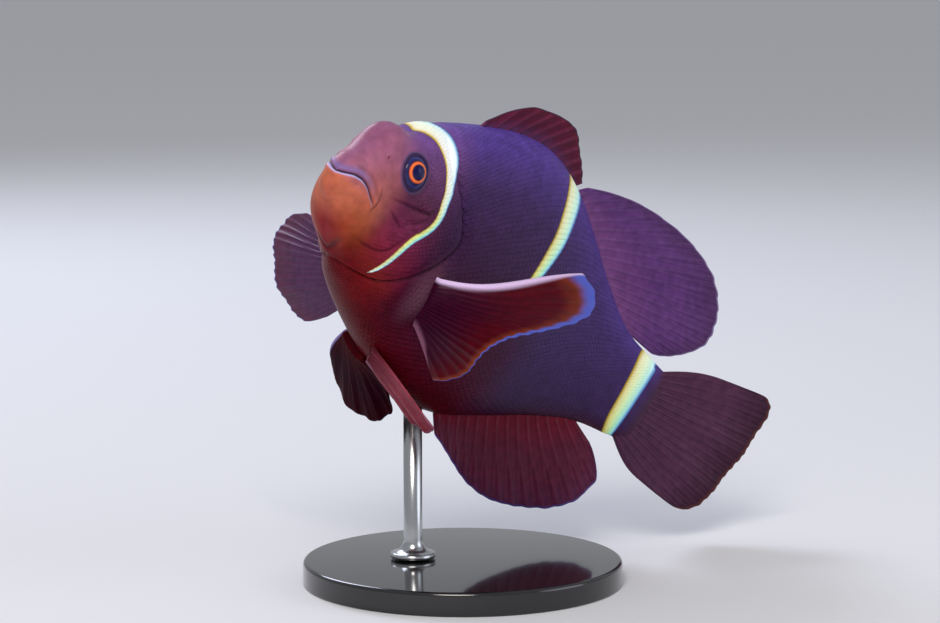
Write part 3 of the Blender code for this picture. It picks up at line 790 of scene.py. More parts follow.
@dataclass(frozen=True)
class ScaledSkin:
    """Living fish skin with small scales: dark pigment under thin wet mucus, so it is satin to glossy."""

    name: str = "wet_scaled_skin"
    ground: tuple[tuple[float, float, tuple[tuple[float, str], ...]], ...] = (
        (0.0, 0.0, (
            (0.0, "#8c5678"), (0.30, "#a26074"), (0.46, "#b0646a"), (0.58, "#c06850"),
            (0.80, "#bc6448"), (1.0, "#b45c4a"),
        )),
        (0.025, 0.075, (
            (0.0, "#8a5274"), (0.30, "#9c5a70"), (0.46, "#a65c5c"), (0.58, "#b45e48"),
            (0.68, "#ac5434"), (0.78, "#9a3e24"), (0.90, "#88221c"), (1.0, "#800e18"),
        )),
        (0.085, 0.17, (
            (0.0, "#664a96"), (0.18, "#6c4684"), (0.34, "#603860"), (0.44, "#50223e"),
            (0.54, "#6c2546"), (0.66, "#802238"), (0.74, "#7c1e1c"), (0.82, "#6c0a10"), (1.0, "#54040a"),
        )),
        (0.215, 0.315, (
            (0.0, "#523c90"), (0.16, "#4d3682"), (0.32, "#3a2452"), (0.50, "#331838"),
            (0.64, "#3c0c2a"), (0.76, "#480620"), (0.88, "#50020c"), (1.0, "#520206"),
        )),
        (0.56, 0.72, (
            (0.0, "#4e3c8c"), (0.16, "#483478"), (0.32, "#3c2860"), (0.50, "#382654"),
            (0.72, "#36224c"), (0.84, "#341438"), (0.93, "#380a22"), (1.0, "#40061a"),
        )),
        (0.992, 1.035, ((0.0, "#442640"), (0.5, "#3c1e34"), (1.0, "#42162a"))),
    )  # along the spine each ramp sets in between two places; it runs from crown to belly
    white_bar: tuple[tuple[float, str], ...] = (
        (0.0, "#0c0812"), (0.09, "#e8c860"), (0.20, "#fbfaf0"), (0.5, "#fcffff"), (0.80, "#eefeff"),
        (0.92, "#7fb4dc"), (1.0, "#3a3f86"),
    )
    yellow_bar: tuple[tuple[float, str], ...] = (
        (0.0, "#1a1008"), (0.10, "#b89420"), (0.24, "#e4e048"), (0.44, "#dcf68c"), (0.62, "#b8fab4"),
        (0.80, "#8eeedc"), (0.92, "#4f8fca"), (1.0, "#343a86"),
    )
    lobe: str = "#5e3848"
    upper_lip: str = "#776aa6"
    # painted shade laid into creases and gill slits
    crease_shade: str = "#1c0812"
    # a painted highlight along the lower lip
    lip_highlight: str = "#c3bbf2"
    # painted shade in the socket round the eye, lighter where a painted highlight lies on its rim
    eye_ring: tuple[tuple[float, str], ...] = (
        (0.0, "#1c1836"), (0.22, "#241c40"), (0.42, "#54466e"), (0.7, "#58304c"),
    )
    mottle_size: float = 2.2  # millimetres
    grain_size: float = 0.35  # millimetres

    def body_colour(self, tree: bpy.types.NodeTree) -> tuple[bpy.types.NodeSocket, bpy.types.Node]:
        """The ground colour, from head to tail and from crown to belly.

        Args:
            tree: the material's nodes.

        Returns:
            The colour, and the node that reads the place.
        """
        place = add_node(tree, "ShaderNodeAttribute", {"attribute_name": "place"})
        axes = add_node(tree, "ShaderNodeSeparateXYZ", links={0: place.outputs["Vector"]})
        ramps = [
            add_node(tree, "ShaderNodeValToRGB", links={0: axes.outputs["Y"]}, stops=stops)
            for _, _, stops in self.ground
        ]
        colour = ramps[0].outputs["Color"]
        for ramp, (first, last, _) in zip(ramps[1:], self.ground[1:]):
            share = add_node(
                tree, "ShaderNodeMapRange", {"interpolation_type": "SMOOTHSTEP"},
                {"From Min": first, "From Max": last}, {"Value": axes.outputs["X"]},
            )
            colour = add_node(
                tree, "ShaderNodeMix", {"data_type": "RGBA"},
                links={0: share.outputs[0], 6: colour, 7: ramp.outputs["Color"]},
            ).outputs[2]
        return colour, axes

    def mottled(self, tree: bpy.types.NodeTree, colour: bpy.types.NodeSocket) -> bpy.types.NodeSocket:
        """Lays soft patches and each scale's own shade over a colour.

        Args:
            tree: the material's nodes.
            colour: the colour under them.

        Returns:
            The colour with them.
        """
        where = add_node(tree, "ShaderNodeTexCoord")
        patches = add_node(
            tree, "ShaderNodeTexNoise", values={"Scale": 1 / (self.mottle_size * MM), "Detail": 4.0},
            links={"Vector": where.outputs["Object"]},
        )
        shade = add_node(tree, "ShaderNodeAttribute", {"attribute_name": "shade"})
        value = add_node(
            tree, "ShaderNodeMapRange",
            values={"From Min": 0.3, "From Max": 0.7, "To Min": 0.84, "To Max": 1.16},
            links={"Value": patches.outputs["Fac"]},
        )
        total = add_node(
            tree, "ShaderNodeMath", {"operation": "ADD"},
            links={0: value.outputs[0], 1: shade.outputs["Fac"]},
        )
        return add_node(
            tree, "ShaderNodeHueSaturation", links={"Color": colour, "Value": total.outputs[0]},
        ).outputs["Color"]

    def barred(self, tree: bpy.types.NodeTree, colour: bpy.types.NodeSocket) -> bpy.types.NodeSocket:
        """Lays the three pale bars over a colour.

        Args:
            tree: the material's nodes.
            colour: the colour under them.

        Returns:
            The colour with them.
        """
        bar = add_node(tree, "ShaderNodeAttribute", {"attribute_name": "bar"})
        parts = add_node(tree, "ShaderNodeSeparateXYZ", links={0: bar.outputs["Vector"]})
        across = add_node(
            tree, "ShaderNodeMapRange", values={"From Min": -1.25, "From Max": 1.25},
            links={"Value": parts.outputs["Y"]},
        )
        ramps = [
            add_node(tree, "ShaderNodeValToRGB", links={0: across.outputs[0]}, stops=stops)
            for stops in (self.white_bar, self.yellow_bar)
        ]
        pale = add_node(
            tree, "ShaderNodeMix", {"data_type": "RGBA"},
            links={0: parts.outputs["Z"], 6: ramps[0].outputs["Color"], 7: ramps[1].outputs["Color"]},
        )
        inside = add_node(
            tree, "ShaderNodeMapRange", {"interpolation_type": "SMOOTHSTEP"},
            {"From Min": 1.28, "From Max": 1.16}, {"Value": parts.outputs["X"]},
        )
        return add_node(
            tree, "ShaderNodeMix", {"data_type": "RGBA"},
            links={0: inside.outputs[0], 6: colour, 7: pale.outputs[2]},
        ).outputs[2]

    def shaded(
        self, tree: bpy.types.NodeTree, colour: bpy.types.NodeSocket, axes: bpy.types.Node
    ) -> bpy.types.NodeSocket:
        """Lays the dull lobe, the lilac upper lip, painted shade in creases and in a ring round the eye, and
        painted highlights along the lower lip and on the eye's rim, over a colour.

        Args:
            tree: the material's nodes.
            colour: the colour under them.
            axes: the node that reads the place.

        Returns:
            The colour with them.
        """
        lips = add_node(tree, "ShaderNodeAttribute", {"attribute_name": "lip"})
        lip = add_node(tree, "ShaderNodeSeparateXYZ", links={0: lips.outputs["Vector"]})
        crease_shade = add_node(tree, "ShaderNodeAttribute", {"attribute_name": "crease_shade"})
        # mixes in the dull lobe, the lilac upper lip, painted shade in creases and gill slits, and a painted
        # highlight along the lower lip
        for share, code in (
            (lip.outputs["Z"], self.lobe), (lip.outputs["X"], self.upper_lip),
            (crease_shade.outputs["Fac"], self.crease_shade), (lip.outputs["Y"], self.lip_highlight),
        ):
            colour = add_node(
                tree, "ShaderNodeMix", {"data_type": "RGBA"}, {7: linear(code)}, {0: share, 6: colour},
            ).outputs[2]
        # round the eye: painted socket shade, with a painted highlight on the rim
        ring = add_node(
            tree, "ShaderNodeMapRange", {"interpolation_type": "SMOOTHSTEP"},
            {"From Min": 1.37, "From Max": 1.14, "To Max": 0.92}, {"Value": axes.outputs["Z"]},
        )
        rim = add_node(
            tree, "ShaderNodeMapRange", values={"From Min": 1.0, "From Max": 1.5},
            links={"Value": axes.outputs["Z"]},
        )
        painted_eye_surround = add_node(tree, "ShaderNodeValToRGB", links={0: rim.outputs[0]}, stops=self.eye_ring)
        return add_node(
            tree, "ShaderNodeMix", {"data_type": "RGBA"},
            links={0: ring.outputs[0], 6: colour, 7: painted_eye_surround.outputs["Color"]},
        ).outputs[2]

    def build(self) -> bpy.types.Material:
        """Makes the material.

        Returns:
            Satin skin, with a sheen that mucus tints.
        """
        made, tree, shader = new_material(self.name, {
            "Roughness": 0.40, "IOR": 1.40, "Specular IOR Level": 0.20, "Specular Tint": linear(MUCUS),
            "Subsurface Weight": 0.06, "Subsurface Radius": (1.0, 0.35, 0.3), "Subsurface Scale": 0.8 * MM,
            "Coat Weight": 0.04, "Coat Roughness": 0.20,
        })
        colour, axes = self.body_colour(tree)
        colour = self.barred(tree, self.mottled(tree, colour))
        tree.links.new(self.shaded(tree, colour, axes), shader.inputs["Base Color"])
        add_relief(tree, shader, self.grain_size, 3.0, 0.18, 0.08)
        return made


@dataclass(frozen=True)
class FinMembrane:
    """Thin fin membrane over bony rays: stained, a little translucent and wet, so satin."""

    name: str
    root: str
    middle: str
    tip: str
    ray: str
    ray_strength: float = 0.5
    middle_to: float = 0.7
    tip_narrowing: float = 0.0  # how fast the tip's colour draws out to the margin towards the last ray
    margin: str = "#6a5fae"
    margin_width: float = 0.8  # millimetres
    lead: str = "#b48cb4"
    lead_width: float = 0.0  # millimetres
    trail: str = "#6a5fae"
    trail_width: float = 0.0  # millimetres
    roughness: float = 0.42
    gloss: float = 0.20
    patch_size: float = 1.8  # millimetres

    def stained(self, tree: bpy.types.NodeTree, patches: bpy.types.NodeSocket) -> bpy.types.NodeSocket:
        """The colour from root to tip, with rays and soft patches.

        Args:
            tree: the material's nodes.
            patches: their pattern, from 0 to 1.

        Returns:
            The colour.
        """
        place = add_node(tree, "ShaderNodeAttribute", {"attribute_name": "fin_place"})
        axes = add_node(tree, "ShaderNodeSeparateXYZ", links={0: place.outputs["Vector"]})
        power = add_node(
            tree, "ShaderNodeMath", {"operation": "MULTIPLY_ADD"}, {1: self.tip_narrowing, 2: 1.0},
            {0: axes.outputs["X"]},
        )
        outwards = add_node(
            tree, "ShaderNodeMath", {"operation": "POWER"}, links={0: axes.outputs["Y"], 1: power.outputs[0]},
        )
        along = add_node(
            tree, "ShaderNodeValToRGB", links={0: outwards.outputs[0]},
            stops=((0.0, self.root), (0.45, self.middle), (self.middle_to, self.middle), (1.0, self.tip)),
        )
        strength = add_node(
            tree, "ShaderNodeMath", {"operation": "MULTIPLY"}, {1: self.ray_strength}, {0: axes.outputs["Z"]},
        )
        rayed = add_node(
            tree, "ShaderNodeMix", {"data_type": "RGBA"}, {7: linear(self.ray)},
            {0: strength.outputs[0], 6: along.outputs["Color"]},
        )
        value = add_node(
            tree, "ShaderNodeMapRange",
            values={"From Min": 0.3, "From Max": 0.7, "To Min": 0.8, "To Max": 1.2},
            links={"Value": patches},
        )
        return add_node(
            tree, "ShaderNodeHueSaturation", links={"Color": rayed.outputs[2], "Value": value.outputs[0]},
        ).outputs["Color"]

    def edged(self, tree: bpy.types.NodeTree, colour: bpy.types.NodeSocket) -> bpy.types.NodeSocket:
        """Lays strips of colour and painted highlights along the trailing edge, the margin and the leading
        edge.

        Args:
            tree: the material's nodes.
            colour: the colour under them.

        Returns:
            The colour with them.
        """
        edges = add_node(tree, "ShaderNodeAttribute", {"attribute_name": "fin_edges"})
        away = add_node(tree, "ShaderNodeSeparateXYZ", links={0: edges.outputs["Vector"]})
        for axis, code, width in (
            ("Z", self.trail, self.trail_width), ("Y", self.margin, self.margin_width),
            ("X", self.lead, self.lead_width),
        ):
            if width > 0:
                share = add_node(
                    tree, "ShaderNodeMapRange", {"interpolation_type": "SMOOTHSTEP"},
                    {"From Min": width * 1.4, "From Max": width * 0.4}, {"Value": away.outputs[axis]},
                )
                colour = add_node(
                    tree, "ShaderNodeMix", {"data_type": "RGBA"}, {7: linear(code)},
                    {0: share.outputs[0], 6: colour},
                ).outputs[2]
        return colour

    def build(self) -> bpy.types.Material:
        """Makes the material.

        Returns:
            Satin membrane that lets a little light in.
        """
        made, tree, shader = new_material(self.name, {
            "Roughness": self.roughness, "IOR": 1.40, "Specular IOR Level": self.gloss,
            "Specular Tint": linear(MUCUS), "Subsurface Weight": 0.15, "Subsurface Radius": (1.0, 0.4, 0.4),
            "Subsurface Scale": 0.6 * MM, "Coat Weight": 0.2 * self.gloss, "Coat Roughness": 0.25,
        })
        patches = add_relief(tree, shader, self.patch_size, 5.0, 0.25, 0.1)
        tree.links.new(self.edged(tree, self.stained(tree, patches)), shader.inputs["Base Color"])
        return made


@dataclass(frozen=True)
class EyeGlass:
    """A wet eye under a clear cornea: a deep blue-black pupil, an orange ring and a slate iris."""

    name: str = "wet_eye"
    rings: tuple[tuple[float, str], ...] = (
        (0.0, "#030340"), (0.42, "#030344"), (0.46, "#7a2c16"), (0.50, "#f07a3c"), (0.60, "#e8602c"),
        (0.64, "#5a2030"), (0.68, "#1c1c46"), (0.82, "#2a2a66"), (0.93, "#46468c"), (1.0, "#5a4a7c"),
    )

    def build(self) -> bpy.types.Material:
        """Makes the material.

        Returns:
            Glossy rings of colour.
        """
        made, tree, shader = new_material(self.name, {
            "Roughness": 0.30, "Specular IOR Level": 0.15, "Coat Weight": 0.35, "Coat Roughness": 0.04,
            "Coat IOR": 1.376,
        })
        ring = add_node(tree, "ShaderNodeAttribute", {"attribute_name": "ring"})
        colours = add_node(tree, "ShaderNodeValToRGB", links={0: ring.outputs["Fac"]}, stops=self.rings)
        tree.links.new(colours.outputs["Color"], shader.inputs["Base Color"])
        return made


@dataclass(frozen=True)
class StandFinish:
    """A plain finish for a part of the stand."""

    name: str
    colour: str
    roughness: float
    metallic: float = 0.0
    coat: float = 0.0
    grain: float = 0.3  # millimetres
    grain_strength: float = 0.05

    def build(self) -> bpy.types.Material:
        """Makes the material.

        Returns:
            A finish whose gloss varies a little with its grain.
        """
        made, tree, shader = new_material(self.name, {
            "Base Color": linear(self.colour), "Metallic": self.metallic, "Coat Weight": self.coat,
        })
        grains = add_relief(tree, shader, self.grain, 3.0, self.grain_strength, 0.05)
        rough = add_node(
            tree, "ShaderNodeMapRange",
            values={"To Min": self.roughness * 0.92, "To Max": self.roughness * 1.08},
            links={"Value": grains},
        )
        tree.links.new(rough.outputs[0], shader.inputs["Roughness"])
        return made


# ---- making pieces -----------------------------------------------------------------------------
def add_object(name: str, data: bpy.types.ID) -> bpy.types.Object:
    """Puts a mesh, light or camera into the scene.

    Args:
        name: the object's name.
        data: what it shows.

    Returns:
        The object.
    """
    made = bpy.data.objects.new(name, data)
    bpy.context.scene.collection.objects.link(made)
    return made


def add_piece(
    name: str,
    shape: bmesh.types.BMesh | bpy.types.Mesh,
    finish: bpy.types.Material,
    replaced: Sequence[str] = (),
    attributes: dict[str, np.ndarray] | None = None,
) -> bpy.types.Object:
    """Puts a finished shape into the scene, riding on the frame.

    Args:
        name: the piece's name.
        shape: a bmesh or a mesh with its place in its vertices.
        finish: its material.
        replaced: the nodes that it stands for.
        attributes: values at the vertices that the material reads.

    Returns:
        The object.
    """
    mesh = shape
    if isinstance(shape, bmesh.types.BMesh):
        mesh = bpy.data.meshes.new(name)
        shape.to_mesh(mesh)
        shape.free()
    mesh.shade_smooth()
    for key, values in (attributes or {}).items():
        values = np.asarray(values, np.float32)
        kind, word = ("FLOAT_VECTOR", "vector") if values.ndim == 2 else ("FLOAT", "value")
        mesh.attributes.new(key, kind, "POINT").data.foreach_set(word, values.ravel())
    mesh.materials.append(finish)
    piece = add_object(name, mesh)
    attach(piece, "root")
    if replaced:
        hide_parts(*replaced)
    LOG.info("%s: %d faces", name, len(mesh.polygons))
    return piece


def vertex_places(shape: bmesh.types.BMesh) -> np.ndarray:
    """The vertices' places as an array."""
    return np.array([vertex.co[:] for vertex in shape.verts])


def move_vertices(shape: bmesh.types.BMesh, places: np.ndarray) -> None:
    """Puts the vertices at new places."""
    for vertex, place in zip(shape.verts, places):
        vertex.co = place


# ---- skin --------------------------------------------------------------------------------------
COAT_DEPTH = 0.22 * MM  # the skin lies this far inside the solids, under the scales


@dataclass
class Skin:
    """One closed skin over head, jaw, gill covers, trunk and tail stalk."""

    around: int = 320
    head_rows: int = 172
    trunk_rows: int = 118
    crowding: float = 1.35  # how much closer the head's rows lie at the snout
    slit: float = 0.25 * MM  # from the gill cover's edge to the first row behind it
    wedge_rows: int = 16
    wedge_length: float = 0.045  # how far the skin runs out over the root of the tail fin
    wedge_curve: float = 1.5  # how its sides draw in
    wedge_narrowing: float = 0.08  # the share of its height that it loses
    smoothing: int = 3  # rounds along the creases
    smoothing_share: float = 0.4  # of the way to the neighbours
    creased_from: float = 0.02
    nodes: tuple[str, ...] = (
        "head", "lower_jaw", "gill_cover_left", "gill_cover_right", "trunk", "tail_stalk",
    )

    def places(self, row: np.ndarray, angle: np.ndarray) -> tuple[np.ndarray, np.ndarray]:
        """Where the vertices of the rows lie.

        Args:
            row: numbers of rows, from the snout on.
            angle: degrees from the crown.

        Returns:
            The place along the spine, and how far out it is on the wedge over the tail fin, from 0 to 1.
        """
        edge = BODY.gill_edge(angle)
        head = edge * (row / self.head_rows) ** self.crowding
        done = (row - self.head_rows - 1) / self.trunk_rows
        step = self.slit / SL
        trunk = edge + step + (BODY.end - edge - step) * np.clip(done, 0, 1)
        out = (row - self.head_rows - 1 - self.trunk_rows) / self.wedge_rows
        return np.where(row <= self.head_rows, head, trunk), np.clip(out, 0, 1)

    def build(self, finish: bpy.types.Material) -> bpy.types.Object:
        """Makes the skin from a ball whose rows run from the snout to the end of the tail stalk.

        Args:
            finish: its material.

        Returns:
            The piece.
        """
        rows = self.head_rows + 1 + self.trunk_rows + self.wedge_rows
        shape = bmesh.new()
        bmesh.ops.create_uvsphere(shape, u_segments=self.around, v_segments=rows, radius=1.0)
        ball = vertex_places(shape)
        row = np.round(np.arccos(np.clip(ball[:, 2], -1, 1)) / math.pi * rows)
        angle = np.degrees(np.arctan2(ball[:, 1], ball[:, 0]))
        x, out = self.places(row, angle)
        base = BODY.at(x, angle)
        rise, crease_shade = ANATOMY.rise(x, angle, base)
        points = base + BODY.outward(x, angle) * ((rise - COAT_DEPTH) / SL)[:, None]
        run = np.stack([self.wedge_length * out, 0 * out, 0 * out], axis=-1)
        points += run
        points[:, 1] *= 1 - out**self.wedge_curve
        points[:, 2] *= np.where(out < 1, 1 - self.wedge_narrowing * out, 0.0)
        move_vertices(shape, POSE.posed(points))
        creased = [vertex for vertex, depth in zip(shape.verts, crease_shade) if depth > self.creased_from]
        for _ in range(self.smoothing):
            bmesh.ops.smooth_vert(
                shape, verts=creased, factor=self.smoothing_share,
                use_axis_x=True, use_axis_y=True, use_axis_z=True,
            )
        bmesh.ops.recalc_face_normals(shape, faces=shape.faces)
        # the marks carry the painted shade of creases and gill slits
        marks = ANATOMY.marks(x + run[:, 0], angle, base + run) | {"crease_shade": crease_shade}
        return add_piece("skin", shape, finish, self.nodes, marks)


# ---- scales ------------------------------------------------------------------------------------
@dataclass(frozen=True)
class ScaleZone:
    """A stretch of the body, from a place along the spine on, with so many scales round it."""

    name: str
    first: float
    around: int


@dataclass
class Scales:
    """Small overlapping scales that lie back along the body."""

    zones: tuple[ScaleZone, ...] = (
        ScaleZone("scales_shoulder", 0.139, 104),
        ScaleZone("scales_flank", 0.42, 104),
        ScaleZone("scales_rear", 0.62, 84),
        ScaleZone("scales_stalk", 0.80, 60),
    )
    head: ScaleZone = ScaleZone("scales_head", 0.10, 104)
    head_last: float = 0.335
    last: float = 0.985
    bare_to: Table = ((0, 0.140), (45, 0.155), (70, 0.170), (95, 0.160), (125, 0.135), (180, 0.118))
    bare_fade: float = 0.030
    eye_clear: float = 1.42  # scales start so many of its radii from the eye's middle
    eye_fade: float = 0.3
    fold_clear: float = 0.5  # and so many millimetres from a fold
    fold_fade: float = 0.8
    slit_clear: tuple[float, float] = (0.010, 0.005)  # and so far ahead of and behind the gill slit
    slit_fade: float = 0.012
    last_fade: float = 0.02
    faintest: float = 0.12  # the strength from which a scale is laid
    length: float = 2.0  # of a scale, as a share of the distance between rows
    width: float = 1.30  # as a share of the distance between neighbours in a row
    row_share: float = 0.78  # distance between rows, as a share of that between neighbours
    thickness: float = 0.05 * MM
    tilt: float = 0.10 * MM
    roll: float = 0.04 * MM
    sink: float = 0.20 * MM  # how far the last scales before bare skin lie under it
    sides: int = 10
    upper_radius: float = 0.82  # of the plate's upper face, as a share of its lower one's
    dome: float = 0.25  # how far its middle stands up, as a share of its thickness
    round_scatter: float = 0.03  # a share of the distance between neighbours, as the next
    along_scatter: float = 0.04
    size_scatter: float = 0.04
    shade_scatter: float = 0.035
    seed: int = 7
    table_size: int = 361
    first_station: float = 0.05
    stations: int = 96
    patch: float = 0.0015  # half a scale's size in the bake's square

    def arc_angles(self, x: np.ndarray, share: np.ndarray) -> tuple[np.ndarray, np.ndarray]:
        """Angles at even arc lengths round the body.

        Args:
            x: places along the spine.
            share: shares of the way round, 0 and 1 at the belly.

        Returns:
            The angle there, and the length round the body, in standard lengths.
        """
        angles = np.linspace(-180, 180, self.table_size)
        stations = np.linspace(self.first_station, 1.0, self.stations)
        grid_x, grid_angle = np.meshgrid(stations, angles, indexing="ij")
        points = BODY.plain(grid_x, grid_angle)
        steps = np.linalg.norm(np.diff(points, axis=1), axis=2)
        arcs = np.concatenate([np.zeros((len(stations), 1)), np.cumsum(steps, axis=1)], axis=1)
        even = np.linspace(0, 1, self.table_size)
        table = np.stack([np.interp(even, arc / arc[-1], angles) for arc in arcs])
        at = np.clip((x - stations[0]) / (stations[1] - stations[0]), 0, len(stations) - 1.001)
        across = np.clip(share, 0, 1) * (self.table_size - 1.001)
        i, j = at.astype(int), across.astype(int)
        s, t = at - i, across - j
        top = table[i, j] * (1 - t) + table[i, j + 1] * t
        low = table[i + 1, j] * (1 - t) + table[i + 1, j + 1] * t
        length = np.interp(x, stations, arcs[:, -1])
        return top * (1 - s) + low * s, length

    def template(self) -> tuple[np.ndarray, list[tuple[int, ...]]]:
        """Makes one scale: a low domed plate, 2 long and 2 wide, 1 thick.

        Returns:
            The places of its vertices, and the vertices of its faces.
        """
        shape = bmesh.new()
        bmesh.ops.create_cone(
            shape, cap_ends=True, segments=self.sides, radius1=1.0, radius2=self.upper_radius, depth=1.0,
        )
        top = [face for face in shape.faces if face.normal.z > 0.9]
        bmesh.ops.poke(shape, faces=top, offset=self.dome)
        shape.verts.index_update()
        points = vertex_places(shape)
        faces = [tuple(vertex.index for vertex in face.verts) for face in shape.faces]
        shape.free()
        return points, faces

    def roots(self, zones: Sequence[ScaleZone], last: float) -> dict[str, np.ndarray]:
        """Lays even rows of scales from the first zone's start to a last place.

        Args:
            zones: the stretches, in order.
            last: where the rows end.

        Returns:
            For every scale its place along the spine, its share of the way round, the distance between
            neighbours, the share of the way round that one takes, and its zone's number.
        """
        random = np.random.default_rng(self.seed)
        rows: list[np.ndarray] = []
        x, row = zones[0].first, 0
        while x < last:
            zone = sum(x >= one.first for one in zones) - 1
            around = zones[zone].around
            _, length = self.arc_angles(np.array([x]), np.array([0.5]))
            spacing = float(length[0]) / around
            share = (np.arange(around) + 0.5 * (row % 2)) / around
            share = share + random.normal(0, self.round_scatter, around) / around
            places = x + random.normal(0, self.along_scatter, around) * spacing
            same = (np.full(around, value) for value in (spacing, 1 / around, zone))
            rows.append(np.stack([places, share % 1.0, *same]))
            x += spacing * self.row_share
            row += 1
        laid = np.concatenate(rows, axis=1)
        return dict(zip(("x", "share", "spacing", "turn", "zone"), laid))

    def strength(self, on_head: bool, x: np.ndarray, angle: np.ndarray) -> np.ndarray:
        """How fully scales stand out of the skin.

        They leave bare the snout, lips, chin, eye rims and folds, and the skin over the gill slit.

        Args:
            on_head: whether they are the head's scales.
            x: places along the spine.
            angle: degrees from the crown.

        Returns:
            The strength, from 0 where there are none.
        """
        side = np.abs(angle)
        edge = BODY.gill_edge(angle)
        points = BODY.at(x, angle)
        full = ease((ANATOMY.eye.from_axis(points) / ANATOMY.eye.radius - self.eye_clear) / self.eye_fade)
        for fold in ANATOMY.folds():
            distance, _ = fold.line.measure(points, fold.reach)
            full = full * ease((np.abs(distance) - self.fold_clear) / self.fold_fade)
        ahead, behind = self.slit_clear
        if on_head:
            bare = curve_at(self.bare_to, side)
            return full * ease((x - bare) / self.bare_fade) * ease((edge - ahead - x) / self.slit_fade)
        full = full * ease((x - edge - behind) / self.slit_fade)
        return full * ease((self.last - x) / self.last_fade + 0.2)

    def build_mesh(
        self, name: str, laid: dict[str, np.ndarray], finish: bpy.types.Material
    ) -> bpy.types.Object:
        """Makes one joined mesh of scales.

        Args:
            name: the piece's name.
            laid: for every scale what `roots` gives, and its strength.
            finish: their material.

        Returns:
            The piece.
        """
        random = np.random.default_rng(self.seed)
        plate, faces = self.template()
        count = len(laid["x"])
        size = random.normal(1, self.size_scatter, count)
        shade = random.normal(0, self.shade_scatter, count)
        back = plate[:, 0] * 0.5 * self.length * self.row_share
        wide = plate[:, 1] * 0.5 * self.width
        every_x = laid["x"][:, None] + back[None, :] * (laid["spacing"] * size)[:, None]
        every_share = laid["share"][:, None] + wide[None, :] * (size * laid["turn"])[:, None]
        height = 0.5 * self.tilt * plate[:, 0] + 0.5 * self.roll * plate[:, 1] + self.thickness * plate[:, 2]
        lift = (height[None, :] - self.sink * (1 - laid["strength"])[:, None]).ravel() - COAT_DEPTH * 0.6
        flat_x = every_x.ravel()
        flat_angle, _ = self.arc_angles(flat_x, every_share.ravel() % 1.0)
        base = BODY.at(flat_x, flat_angle)
        rise, crease_shade = ANATOMY.rise(flat_x, flat_angle, base)
        points = base + BODY.outward(flat_x, flat_angle) * ((rise + lift) / SL)[:, None]
        corners = np.concatenate([np.array(face) for face in faces])
        sizes = np.array([len(face) for face in faces])
        mesh = bpy.data.meshes.new(name)
        mesh.vertices.add(count * len(plate))
        mesh.vertices.foreach_set("co", POSE.posed(points).astype(np.float32).ravel())
        loops = (corners[None, :] + (np.arange(count) * len(plate))[:, None]).ravel()
        mesh.loops.add(len(loops))
        mesh.loops.foreach_set("vertex_index", loops.astype(np.int32))
        starts = np.concatenate([[0], np.cumsum(np.tile(sizes, count))[:-1]])
        mesh.polygons.add(count * len(faces))
        mesh.polygons.foreach_set("loop_start", starts.astype(np.int32))
        mesh.update(calc_edges=True)
        bake = mesh.uv_layers.new(name="OFBake")
        root_uv = np.stack([0.05 + 0.9 * laid["share"], 0.05 + 0.9 * laid["x"]], axis=-1)
        patch_uv = root_uv[:, None, :] + plate[None, :, [1, 0]] * self.patch
        bake.uv.foreach_set("vector", patch_uv.reshape(-1, 2)[loops].astype(np.float32).ravel())
        marks = ANATOMY.marks(flat_x, flat_angle, base)
        # the marks carry the painted shade of creases and gill slits
        marks |= {"crease_shade": crease_shade, "shade": np.repeat(shade, len(plate))}
        return add_piece(name, mesh, finish, (), marks)

    def build_zones(
        self, zones: Sequence[ScaleZone], last: float, on_head: bool, finish: bpy.types.Material
    ) -> list[bpy.types.Object]:
        """Makes the scales of one run of zones.

        Args:
            zones: the stretches, in order.
            last: where the rows end.
            on_head: whether they are the head's scales.
            finish: their material.

        Returns:
            A piece for each zone.
        """
        laid = self.roots(zones, last)
        angle, _ = self.arc_angles(laid["x"], laid["share"])
        laid["strength"] = self.strength(on_head, laid["x"], angle)
        made = []
        for i, zone in enumerate(zones):
            kept = (laid["strength"] > self.faintest) & (laid["zone"] == i)
            made.append(self.build_mesh(zone.name, {key: part[kept] for key, part in laid.items()}, finish))
        return made

    def build(self, finish: bpy.types.Material) -> list[bpy.types.Object]:
        """Makes every mesh of scales, over the head and over the body.

        Args:
            finish: their material.

        Returns:
            The pieces.
        """
        head = self.build_zones((self.head,), self.head_last, True, finish)
        return head + self.build_zones(self.zones, self.last, False, finish)


# ---- fins --------------------------------------------------------------------------------------
def closed_sheet(
    steps: tuple[int, int], side_points: Callable[[np.ndarray, np.ndarray, float], np.ndarray]
) -> tuple[bmesh.types.BMesh, np.ndarray, np.ndarray]:
    """Makes a thin closed sheet from two grids joined round their borders.

    Args:
        steps: faces across the rays and along them.
        side_points: gives the places of points (u, v) of the sheet's one face (1) or the other (-1).

    Returns:
        The shape, and u and v at its vertices, both from 0 to 1.
    """
    shape = bmesh.new()
    bmesh.ops.create_grid(shape, x_segments=steps[0], y_segments=steps[1], size=0.5)
    twin = bmesh.ops.duplicate(shape, geom=shape.verts[:] + shape.edges[:] + shape.faces[:])
    twin_faces = [part for part in twin["geom"] if isinstance(part, bmesh.types.BMFace)]
    bmesh.ops.reverse_faces(shape, faces=twin_faces)
    grid = vertex_places(shape)
    half = len(grid) // 2
    u, v = grid[:, 0] + 0.5, grid[:, 1] + 0.5
    bmesh.ops.bridge_loops(shape, edges=[edge for edge in shape.edges if edge.is_boundary])
    places = np.concatenate([side_points(u[:half], v[:half], 1.0), side_points(u[half:], v[half:], -1.0)])
    move_vertices(shape, places)
    bmesh.ops.recalc_face_normals(shape, faces=shape.faces)
    return shape, u, v


